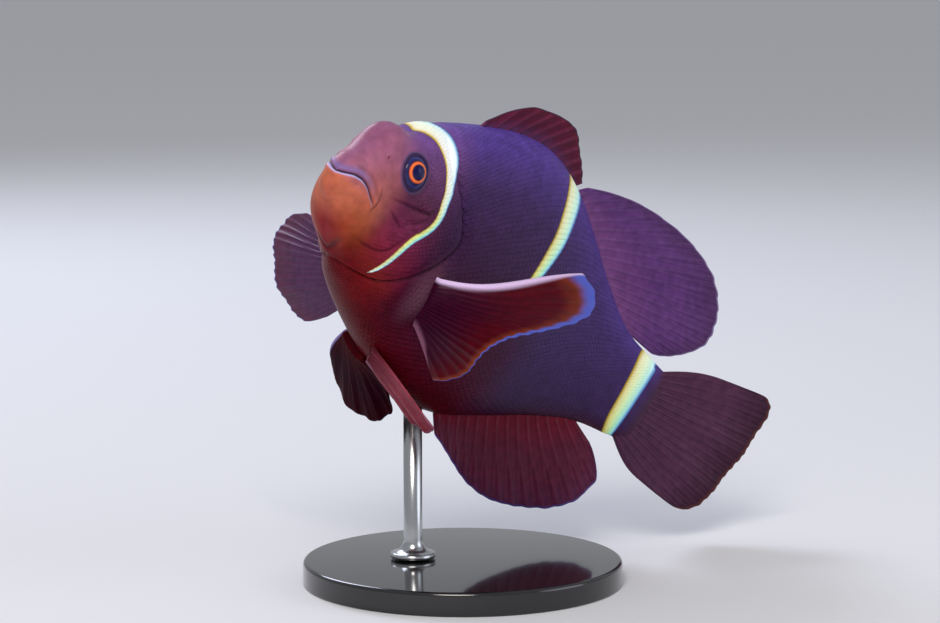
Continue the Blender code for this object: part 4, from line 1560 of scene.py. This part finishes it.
@dataclass
class Fin:
    """A fan of rays with membrane between them."""

    name: str
    node: str
    finish: FinMembrane
    lengths: Table
    rays: int
    spines: bool = False
    around: int = 170
    along: int = 44
    half_root: float = 0.42 * MM
    half_tip: float = 0.17 * MM
    ray_height: float = 0.16 * MM
    spine_width: float = 0.13  # a share of the distance between rays, as the next four
    ray_width: float = 0.12  # at the root
    ray_narrowing: float = 0.05  # by the margin
    fork: float = 0.20  # how far a soft ray's two branches lie from its middle
    twig: float = 0.09  # and how far each of their own lies from them
    fork_at: tuple[float, float] = (0.35, 0.4)  # where along the ray they part, and over what share of it
    twig_at: tuple[float, float] = (0.72, 0.25)
    ray_fall: float = 0.55  # how much of its height a ray loses by the margin
    sheath: float = 0.45 * MM
    sheath_length: float = 2.2 * MM
    sheath_fade: float = 0.15
    sink: float = 1.8 * MM
    root_share: float = 0.05  # the share of the rows that lie sunk in the body
    rim_fade: float = 0.02  # where the sheet thins towards the margin, and next towards its ends
    end_fade: float = 0.012
    ruffle: float = 0.35 * MM
    ruffles: float = 3.0
    ruffle_lean: float = 1.3
    pleat: float = 0.12 * MM  # a fine wave from ray to ray
    wander: tuple[float, ...] = (3.3, 7.1, 12.7)  # waves along the margin
    notch: float = 0.012
    bulge: float = 0.0  # how far the first and last rays bow outwards, in standard lengths
    margin_taper: float = 0.0  # how fast the margin's strip narrows towards the last ray
    seed: int = 3

    def rib(self, u: np.ndarray, v: np.ndarray) -> np.ndarray:
        """How near a point lies to a ray; soft rays branch towards the margin.

        Args:
            u: places across the rays.
            v: places along them.

        Returns:
            The nearness, 1 on the ray.
        """
        if self.spines:
            away = np.abs((u * self.rays + 0.5) % 1.0 - 0.5)
            return bell(away, self.spine_width)
        away = np.abs((u * self.rays) % 1.0 - 0.5)
        (fork_start, fork_run), (twig_start, twig_run) = self.fork_at, self.twig_at
        once = np.abs(away - self.fork * ease((v - fork_start) / fork_run))
        twice = np.abs(once - self.twig * ease((v - twig_start) / twig_run))
        return bell(twice, self.ray_width - self.ray_narrowing * v)

    def margin(self, u: np.ndarray) -> np.ndarray:
        """Gives the margin its fine teeth.

        Args:
            u: places across the rays.

        Returns:
            The share of its full length that a ray keeps.
        """
        phase = np.random.default_rng(self.seed).uniform(0, 2 * math.pi, len(self.wander))
        waves = sum(np.sin(2 * math.pi * u * k + p) for k, p in zip(self.wander, phase))
        wander = waves / len(phase)
        teeth = np.abs(np.cos(math.pi * u * self.rays))
        return 1 - self.notch * (0.7 * (1 - teeth) + 0.8 * (1 + wander) / 2)

    def reach(self, u: np.ndarray) -> np.ndarray:
        """The length of the fin at a place along its root, in standard lengths."""
        return curve_at(self.lengths, u) * self.margin(u)

    def bow(self, u: np.ndarray, v: np.ndarray) -> np.ndarray:
        """How far a ray lies off its straight run, towards the last ray's side."""
        return self.bulge * np.sin(math.pi * v) * (2 * u - 1) ** 3

    def middle(self, u: np.ndarray, v: np.ndarray) -> np.ndarray:
        """Places on the straight fish of the fin's middle sheet."""
        raise NotImplementedError

    def inward(self, u: np.ndarray) -> np.ndarray:
        """The way into the body at the fin's root, on the straight fish."""
        raise NotImplementedError

    def up(self, v: np.ndarray) -> np.ndarray:
        """The share of a ray's free length, 0 where it leaves the body."""
        return np.clip((v - self.root_share) / (1 - self.root_share), 0, 1)

    def sheet(self, u: np.ndarray, v: np.ndarray) -> np.ndarray:
        """Places in metres of the middle sheet, with its root sunk in the body.

        Args:
            u: places across the rays.
            v: places along them; the lowest share lies in the body.

        Returns:
            Points in the frame of the solids.
        """
        down = np.clip(1 - v / self.root_share, 0, 1)
        points = self.middle(u, self.up(v))
        return POSE.posed(points + self.inward(u) * (down * self.sink / SL)[:, None])

    def face(self, u: np.ndarray, v: np.ndarray, side: float) -> np.ndarray:
        """Places of one face of the fin, with its rays standing proud and its sheath at the root.

        Args:
            u: places across the rays.
            v: places along them.
            side: 1 for the one face, -1 for the other.

        Returns:
            Points in the frame of the solids.
        """
        step = 0.002
        low, high = np.clip(v - step, self.root_share, 1), np.clip(v + step, self.root_share + 0.01, 1)
        left, right = np.clip(u - step, 0, 1), np.clip(u + step, 0, 1)
        outwards = np.maximum(v, self.root_share)
        across = self.sheet(right, outwards) - self.sheet(left, outwards)
        normal = unit(np.cross(across, self.sheet(u, high) - self.sheet(u, low)))
        up, from_end = self.up(v), np.minimum(u, 1 - u)
        from_root = up * self.reach(u) * SL
        half = self.half_root + (self.half_tip - self.half_root) * up**0.7
        middle = ease(from_end / self.sheath_fade)
        half = half + self.sheath * middle * np.exp(-from_root / self.sheath_length)
        half = half + self.ray_height * self.rib(u, up) * (1 - self.ray_fall * up)
        rim = ease((1 - up) / self.rim_fade) * 0.6 + 0.4
        ends = ease(from_end / self.end_fade) * 0.5 + 0.5
        swing = np.sin(2 * math.pi * self.ruffles * u + self.ruffle_lean * up + self.seed)
        wave = swing * self.ruffle * up**1.6
        wave = wave + self.pleat * np.sin(2 * math.pi * u * self.rays) * up
        return self.sheet(u, v) + normal * (side * half * rim * ends + wave)[:, None]

    def edge_distances(self, u: np.ndarray, v: np.ndarray) -> np.ndarray:
        """Measures how far points lie from the fin's edges, for the strips of colour and painted highlight
        along them.

        Args:
            u: places across the rays.
            v: places along them.

        Returns:
            Distances in millimetres from the leading edge, the margin and the trailing edge.
        """
        # the leading strip narrows at both ends, the margin's by the last ray, the trailing one by the tip
        here = self.sheet(u, v)
        lead = np.linalg.norm(here - self.sheet(0 * u, v), axis=1)
        trail = np.linalg.norm(here - self.sheet(0 * u + 1, v), axis=1)
        lead = lead / (0.35 + 0.65 * np.sin(math.pi * np.clip(v, 0.05, 0.95)))
        margin = (1 - v) * self.reach(u) * SL / np.maximum((1 - u) ** self.margin_taper, 0.03)
        trail = trail / np.maximum(1 - ease((v - 0.25) / 0.6), 0.02)
        return np.stack([lead, margin, trail], axis=-1) / MM

    def build(self) -> bpy.types.Object:
        """Makes the fin.

        Returns:
            The piece.
        """
        shape, u, v = closed_sheet((self.around, self.along), self.face)
        up = self.up(v)
        attributes = {
            "fin_place": np.stack([u, up, self.rib(u, up)], axis=-1),
            "fin_edges": self.edge_distances(u, v),
        }
        return add_piece(self.name, shape, self.finish.build(), (self.node,), attributes)


@dataclass
class MedianFin(Fin):
    """A fin on the middle plane of the back or the belly."""

    start: float = 0.3
    end: float = 0.6
    above: bool = True
    angles: Table = ((0, 60), (1, 45))

    def middle(self, u: np.ndarray, v: np.ndarray) -> np.ndarray:
        """Lays rays that lean back from the middle line.

        Args:
            u: places across the rays.
            v: places along them, 0 at the root.

        Returns:
            Places of the middle sheet on the straight fish.
        """
        x = self.start + (self.end - self.start) * u
        back, belly, _ = BODY.section(x)
        root = back if self.above else belly
        slope = np.radians(curve_at(self.angles, u))
        reach = self.reach(u) * v
        return np.stack([x + reach * np.cos(slope), 0 * x, root + reach * np.sin(slope)], axis=-1)

    def inward(self, u: np.ndarray) -> np.ndarray:
        """Straight down into the back, or up into the belly."""
        return np.array([0, 0, -1.0 if self.above else 1.0]) + 0 * u[:, None]


@dataclass
class TailFin(Fin):
    """The rounded tail fin, whose rays fan out from the end of the stalk."""

    root: tuple[float, float] = (-0.082, 0.068)
    start: float = 1.0
    angles: Table = ((-1, -15), (-0.5, -5), (0, 3.5), (0.5, 11), (1, 22))

    def reach(self, u: np.ndarray) -> np.ndarray:
        """The length of the fin at a place from its lowest ray to its highest."""
        return curve_at(self.lengths, 2 * u - 1) * self.margin(u)

    def middle(self, u: np.ndarray, v: np.ndarray) -> np.ndarray:
        """Lays rays that fan out from the stalk.

        Args:
            u: places across the rays.
            v: places along them, 0 at the root.

        Returns:
            Places of the middle sheet on the straight fish.
        """
        low, high = self.root
        slope = np.radians(curve_at(self.angles, 2 * u - 1))
        reach = self.reach(u) * v
        z = low + (high - low) * u + reach * np.sin(slope) + self.bow(u, v)
        return np.stack([self.start + reach * np.cos(slope), 0 * z, z], axis=-1)

    def inward(self, u: np.ndarray) -> np.ndarray:
        """Forward into the stalk, and towards its middle."""
        return np.stack([-1 + 0 * u, 0 * u, 0.6 * (1 - 2 * u)], axis=-1)


@dataclass
class PairedFin(Fin):
    """A fin that spreads from a root on the flank."""

    side: Side = Side.LEFT
    root: Table = ((0.335, 108), (0.372, 131))
    ways: Table = ((0, 0.5, 0.5, 0.5), (1, 0.5, 0.5, -0.5))
    clearance: float = 0.7 * MM
    wave: float = 0.0

    def root_at(self, u: np.ndarray, metres: float) -> np.ndarray:
        """The root line, some metres off the flank."""
        (x0, angle0), (x1, angle1) = self.root
        return BODY.at(x0 + (x1 - x0) * u, self.side.value * (angle0 + (angle1 - angle0) * u), metres)

    def middle(self, u: np.ndarray, v: np.ndarray) -> np.ndarray:
        """Lays rays that spread out and back.

        Args:
            u: places across the rays.
            v: places along them, 0 at the root.

        Returns:
            Places of the middle sheet on the straight fish.
        """
        back, out, up = (curve_at(self.ways, u, i) for i in (1, 2, 3))
        way = unit(np.stack([back, -self.side.value * out, up], axis=-1))
        across = np.subtract(self.ways[-1], self.ways[0])[1:] * (1, -self.side.value, 1)
        bow = self.bow(u, v)[:, None] * unit(across)
        sag = self.wave * np.sin(1.5 * math.pi * v) * (1 - u) ** 2
        sagged = bow - sag[:, None] * np.array([0, 0, 1])
        return self.root_at(u, self.clearance) + way * (self.reach(u) * v)[:, None] + sagged

    def inward(self, u: np.ndarray) -> np.ndarray:
        """Into the flank."""
        return unit(self.root_at(u, -1 * MM) - self.root_at(u, 1 * MM))


SHOULDER: Table = ((0.335, 106), (0.372, 131))  # where the pectoral fins are rooted, as (x, angle)


@dataclass
class Fins:
    """All the fins."""

    median: tuple[Fin, ...] = (
        MedianFin(
            "spiny_dorsal", "dorsal_fin_spiny",
            FinMembrane(
                "dorsal_spine_membrane", "#421a42", "#4a0a26", "#540c20", "#642440", 0.5,
                margin="#3a2036", margin_width=0.5, lead="#5c2f4e", lead_width=0.6,
            ),
            ((0, 0.012), (0.06, 0.045), (0.13, 0.079), (0.25, 0.092), (0.5, 0.091), (0.75, 0.054), (1, 0.02)),
            10, spines=True, start=0.325, end=0.604, notch=0.0, ruffle=0.1 * MM,
            angles=((0, 66), (0.15, 57), (0.5, 47), (0.8, 43), (1, 45)), ray_height=0.30 * MM,
        ),
        MedianFin(
            "soft_dorsal", "dorsal_fin_soft",
            FinMembrane(
                "dorsal_ray_membrane", "#663a6c", "#522e66", "#3c2248", "#664678", 0.4,
                margin="#84749c", margin_width=0.45,
            ),
            (
                (0, 0.030), (0.07, 0.088), (0.15, 0.150), (0.3, 0.243), (0.5, 0.293), (0.7, 0.252),
                (0.85, 0.160), (1, 0.060),
            ),
            17, start=0.615, end=0.915,
            angles=((0, 42), (0.25, 29), (0.5, 18), (0.75, 7), (1, -4)), seed=5, along=64,
        ),
        MedianFin(
            "anal_fin_rays", "anal_fin",
            FinMembrane(
                "anal_membrane", "#660c22", "#541a30", "#44183c", "#6a3040", 0.4,
                margin="#4c4086", margin_width=0.45,
            ),
            (
                (0, 0.045), (0.15, 0.093), (0.3, 0.145), (0.5, 0.182), (0.7, 0.195), (0.85, 0.174),
                (0.95, 0.128), (1, 0.055),
            ),
            15, start=0.60, end=0.905, above=False, seed=8,
            angles=((0, -45), (0.15, -53), (0.3, -54), (0.5, -49), (0.7, -39), (0.85, -30), (1, -18)),
        ),
        TailFin(
            "tail_fin_rays", "tail_fin",
            FinMembrane(
                "tail_membrane", "#42243c", "#46263e", "#1e0a18", "#58344a", 0.35,
                margin="#4e2420", margin_width=0.9,
            ),
            (
                (-1, 0.140), (-0.95, 0.192), (-0.86, 0.232), (-0.72, 0.256), (-0.5, 0.268), (0, 0.284),
                (0.5, 0.298), (0.76, 0.304), (0.88, 0.296), (0.96, 0.268), (1, 0.215),
            ),
            16, sink=3.0 * MM, seed=11, along=64, bulge=0.015, notch=0.008,
        ),
    )
    paired: tuple[Fin, ...] = (
        PairedFin(
            "pectoral_left", "pectoral_fin_left",
            FinMembrane(
                "pectoral_membrane", "#2c041e", "#46020e", "#7e3a1a", "#5a0a1c", 0.25, middle_to=0.72,
                # the lilac-white leading strip and the mauve trailing strip are painted highlights on the
                # edge rays
                tip_narrowing=3.5, margin="#4c58b0", margin_width=3.1, lead="#dcc2ea", lead_width=2.2,
                trail="#7e5068", trail_width=1.7,
            ),
            (
                (0, 0.252), (0.06, 0.278), (0.15, 0.290), (0.3, 0.260), (0.5, 0.208), (0.7, 0.182),
                (0.85, 0.164), (1, 0.115),
            ),
            17, root=SHOULDER, side=Side.LEFT, wave=0.012, along=64, seed=13, margin_taper=2.5,
            ray_height=0.10 * MM,
            ways=(
                (0, 0.60, 0.66, 0.505), (0.15, 0.42, 0.86, 0.30), (0.3, 0.18, 0.965, 0.13),
                (0.5, -0.05, 1, 0.025), (0.7, -0.06, 0.985, -0.14), (0.85, 0.02, 0.94, -0.31),
                (1, 0.18, 0.80, -0.58),
            ),
        ),
        PairedFin(
            "pectoral_right", "pectoral_fin_right",
            # the pectoral's own colours, painted paler and pinker for the light shining through this far fin
            FinMembrane(
                "pectoral_far_membrane", "#3c1840", "#48244a", "#54283c", "#643c5e", 0.4,
                margin="#4a4698", margin_width=0.5, lead="#8e6a94", lead_width=1.0,
            ),
            (
                (0, 0.215), (0.05, 0.262), (0.15, 0.285), (0.3, 0.282), (0.5, 0.268), (0.7, 0.25),
                (0.87, 0.215), (0.96, 0.165), (1, 0.11),
            ),
            17, root=SHOULDER, side=Side.RIGHT, wave=0.010, along=64, seed=17,
            ways=((0, 0.15, 0.99, 0.02), (0.5, 0.17, 0.97, -0.20), (1, 0.39, 0.84, -0.40)),
        ),
        PairedFin(
            "pelvic_left", "pelvic_fin_left",
            # the pelvic fin's red, painted lighter and pinker as lit, with a painted highlight along its
            # trailing strip
            FinMembrane(
                "pelvic_membrane_painted_light", "#4a1420", "#8e3e4c", "#82303c", "#9a4c5a", 0.4, middle_to=0.8,
                margin="#9a5a70", margin_width=0.6, trail="#94667a", trail_width=1.2, gloss=0.08,
            ),
            ((0, 0.155), (0.05, 0.180), (0.15, 0.195), (0.4, 0.192), (0.7, 0.168), (0.9, 0.132), (1, 0.085)),
            7, root=((0.358, 162), (0.381, 175)), side=Side.LEFT, seed=19, around=110, bulge=0.006,
            ways=((0, 0.90, 0.40, -0.31), (0.5, 0.94, 0.14, -0.31), (1, 0.965, -0.03, -0.25)),
        ),
        PairedFin(
            "pelvic_right", "pelvic_fin_right",
            # the pelvic fin's red, darkened almost to black by painted shade on this far fin
            FinMembrane(
                "pelvic_far_membrane_painted_shade", "#3c040a", "#260212", "#30040e", "#3e0818", 0.35,
                margin="#2c1436", margin_width=0.4, lead="#8c7cb0", lead_width=0.8, roughness=0.55,
                gloss=0.05,
            ),
            ((0, 0.120), (0.05, 0.152), (0.15, 0.184), (0.4, 0.213), (0.7, 0.207), (0.9, 0.172), (1, 0.115)),
            7, root=((0.352, 158), (0.386, 178)), side=Side.RIGHT, seed=23, around=110, bulge=0.014,
            ways=((0, 0.68, 0.60, -0.43), (0.4, 0.82, 0.36, -0.42), (1, 0.97, 0.14, -0.17)),
        ),
    )

    def build(self) -> list[bpy.types.Object]:
        """Makes every fin."""
        return [fin.build() for fin in self.median + self.paired]


# ---- eyes --------------------------------------------------------------------------------------
@dataclass
class Eyes:
    """Two flattened eyeballs with a bulging clear front."""

    place: EyePlace = ANATOMY.eye
    around: int = 96
    rows: int = 72
    cornea: float = 0.10  # how far the clear front stands out, in the eye's radii, as the next
    cornea_reach: float = 0.62
    back: float = 0.7

    def build_side(self, side: Side, finish: bpy.types.Material) -> bpy.types.Object:
        """Makes the eyeball of one side.

        Args:
            side: the flank that it looks out of.
            finish: its material.

        Returns:
            The piece.
        """
        shape = bmesh.new()
        bmesh.ops.create_uvsphere(shape, u_segments=self.around, v_segments=self.rows, radius=1.0)
        ball = vertex_places(shape)
        ring = np.hypot(ball[:, 0], ball[:, 1])
        front = ball[:, 2] > 0
        bulge = self.cornea * ease(1 - ring / self.cornea_reach)
        height = ball[:, 2]
        depth = np.where(front, height * (self.place.flatness - self.cornea) + bulge, height * self.back)
        middle, look = self.place.frame(side)
        turn = np.array(Vector(look).to_track_quat("Z", "Y").to_matrix())
        local = np.stack([ball[:, 0], ball[:, 1], depth], axis=-1) * self.place.radius
        move_vertices(shape, local @ turn.T + middle)
        bmesh.ops.recalc_face_normals(shape, faces=shape.faces)
        rings = np.where(front, ring, 1.0)
        name = f"eye_ball_{side.word}"
        return add_piece(name, shape, finish, (f"eye_{side.word}",), {"ring": rings})

    def build(self) -> list[bpy.types.Object]:
        """Makes both eyes."""
        finish = EyeGlass().build()
        return [self.build_side(side, finish) for side in Side]


# ---- stand -------------------------------------------------------------------------------------
@dataclass
class DisplayStand:
    """A round base of clear-coated black acrylic and a polished steel rod under the belly."""

    base_radius: float = 0.034
    base_height: float = 0.005
    base_bevel: float = 0.0008
    rod_radius: float = 0.0020
    foot_radius: float = 0.0048
    foot_height: float = 0.0024
    gap: float = 0.0003
    rod_at: float = 0.548
    rod_let_in: float = 0.0010
    foot_bevel: float = 0.0002
    foot_rim: float = 0.45  # the height of the foot's upright rim, as a share of its own
    foot_sweep: float = 1.15  # how much further up the foot's curve meets the rod, as such a share
    corner_steps: int = 8
    around: int = 96

    def turned(
        self, profile: Sequence[tuple[float, float]], middle: tuple[float, float]
    ) -> bmesh.types.BMesh:
        """Turns a half outline about an upright axis.

        Args:
            profile: its points (radius, height), from the axis out and back to it.
            middle: where the axis stands.

        Returns:
            The shape.
        """
        shape = bmesh.new()
        points = [shape.verts.new((radius, 0, height)) for radius, height in profile]
        edges = [shape.edges.new(pair) for pair in zip(points, points[1:])]
        bmesh.ops.spin(
            shape, geom=points + edges, axis=(0, 0, 1), cent=(0, 0, 0), steps=self.around,
            angle=2 * math.pi, use_merge=True,
        )
        bmesh.ops.remove_doubles(shape, verts=shape.verts, dist=1e-7)
        bmesh.ops.translate(shape, verts=shape.verts, vec=(*middle, 0))
        bmesh.ops.recalc_face_normals(shape, faces=shape.faces)
        return shape

    def build(self) -> list[bpy.types.Object]:
        """Makes the base and the rod.

        Returns:
            The pieces.
        """
        touch = POSE.posed(BODY.at(self.rod_at, 180.0)[None, :])[0]
        place = (float(touch[0]), float(touch[1]))
        height, radius, bevel = self.base_height, self.base_radius, self.base_bevel
        corner = [math.radians(90 * k / self.corner_steps) for k in range(self.corner_steps + 1)]
        base = [(0.0, 0.0)]
        base += [(radius - bevel * 0.5 * (1 - math.sin(t)), bevel * 0.5 * (1 - math.cos(t))) for t in corner]
        base += [
            (radius - bevel * (1 - math.cos(t)), height - bevel * (1 - math.sin(t))) for t in corner
        ] + [(0.0, height)]
        low, foot, edge = height + self.gap, self.foot_height, self.foot_bevel
        rod = [(0.0, low), (self.foot_radius - edge, low), (self.foot_radius, low + edge)]
        rod += [(self.foot_radius, low + self.foot_rim * foot)]
        inward = self.foot_radius - self.rod_radius
        for t in corner[1:]:
            rise = self.foot_rim + self.foot_sweep * (1 - math.cos(t))
            rod.append((self.rod_radius + inward * (1 - math.sin(t)), low + foot * rise))
        top = float(touch[2]) + self.rod_let_in
        rod += [(self.rod_radius, top), (0.0, top)]
        acrylic = StandFinish("black_acrylic", "#141416", 0.12, coat=0.4).build()
        steel = StandFinish(
            "polished_steel", "#b4b6b8", 0.22, metallic=1.0, grain=0.12, grain_strength=0.01,
        ).build()
        disc = self.turned(base, (0.0, 0.0))
        return [
            add_piece("stand_base_disc", disc, acrylic, ("stand_base",)),
            add_piece("stand_steel_rod", self.turned(rod, place), steel, ("stand_rod",)),
        ]


# ---- studio ------------------------------------------------------------------------------------
@dataclass(frozen=True)
class SoftBox:
    """A soft area light aimed at the model."""

    name: str
    place: tuple[float, float, float]
    size: float
    power: float
    colour: str = "#ffffff"

    def build(self, aim: Vector) -> bpy.types.Object:
        """Makes the light.

        Args:
            aim: the point that it shines at.

        Returns:
            The light.
        """
        lamp = bpy.data.lights.new(self.name, "AREA")
        lamp.shape, lamp.size, lamp.energy = "DISK", self.size, self.power
        lamp.color = linear(self.colour)[:3]
        made = add_object(self.name, lamp)
        made.location = self.place
        made.rotation_euler = (aim - made.location).to_track_quat("-Z", "Y").to_euler()
        return made


@dataclass
class Studio:
    """A pale floor, soft lights and the camera."""

    floor_size: float = 30.0
    azimuth: float = -46.6
    elevation: float = 6.0
    distance: float = 0.600
    shift: tuple[float, float] = (0.00342, -0.00998)
    lens: float = 109.38
    world_strength: float = 0.50
    boxes: tuple[SoftBox, ...] = (
        SoftBox("key_light", (-0.75, -0.55, 0.85), 0.55, 9.0, "#fff8f2"),
        SoftBox("fill_light", (0.55, -0.95, 0.35), 0.8, 3.0, "#eef2ff"),
        SoftBox("back_light", (0.25, 0.8, 0.75), 0.5, 5.0, "#e8ecff"),
    )

    def build_floor(self) -> bpy.types.Object:
        """Lays a plain pale floor under the stand.

        Returns:
            The floor.
        """
        shape = bmesh.new()
        bmesh.ops.create_grid(shape, x_segments=1, y_segments=1, size=self.floor_size / 2)
        mesh = bpy.data.meshes.new("floor")
        shape.to_mesh(mesh)
        shape.free()
        made, _, _ = new_material("matt_pale_floor", {"Base Color": linear("#dcdde0"), "Roughness": 0.85})
        mesh.materials.append(made)
        floor = add_object("floor", mesh)
        return floor

    def build_camera(self) -> bpy.types.Object:
        """Sets up the camera, a little higher than the model and aimed beside its middle.

        Returns:
            The camera.
        """
        turn, lift = math.radians(self.azimuth), math.radians(self.elevation)
        toward = Vector((math.sin(turn) * math.cos(lift), -math.cos(turn) * math.cos(lift), math.sin(lift)))
        right = Vector((math.cos(turn), math.sin(turn), 0))
        up = toward.cross(right)
        middle = Vector(POSE.place)
        aim = middle + right * self.shift[0] + up * self.shift[1]
        made = add_object("camera", bpy.data.cameras.new("camera"))
        made.data.lens, made.data.sensor_width = self.lens, 36.0
        made.data.clip_start, made.data.clip_end = 0.01, 100.0
        made.location = middle + toward * self.distance
        made.rotation_euler = (aim - made.location).to_track_quat("-Z", "Y").to_euler()
        bpy.context.scene.camera = made
        return made

    def build(self) -> None:
        """Sets the floor, lights, world and camera."""
        self.build_floor()
        self.build_camera()
        for box in self.boxes:
            box.build(Vector(POSE.place))
        world = bpy.data.worlds.new("soft_studio")
        world.use_nodes = True
        background = world.node_tree.nodes["Background"]
        background.inputs["Color"].default_value = linear("#eef0f6")
        background.inputs["Strength"].default_value = self.world_strength
        bpy.context.scene.world = world
        bpy.context.scene.view_settings.view_transform = "Standard"


# ---- the whole model ---------------------------------------------------------------------------
def corners(lowest: Vector, highest: Vector) -> list[list[float]]:
    """A box's corners as plain lists."""
    return [[float(value) for value in lowest], [float(value) for value in highest]]


def main() -> None:
    """Builds the whole model in order."""
    logging.basicConfig(level=logging.INFO, format="%(message)s")
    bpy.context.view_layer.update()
    finish = ScaledSkin().build()
    Skin().build(finish)
    Scales().build(finish)
    Fins().build()
    Eyes().build()
    DisplayStand().build()
    Studio().build()


if __name__ == "__main__":
    main()
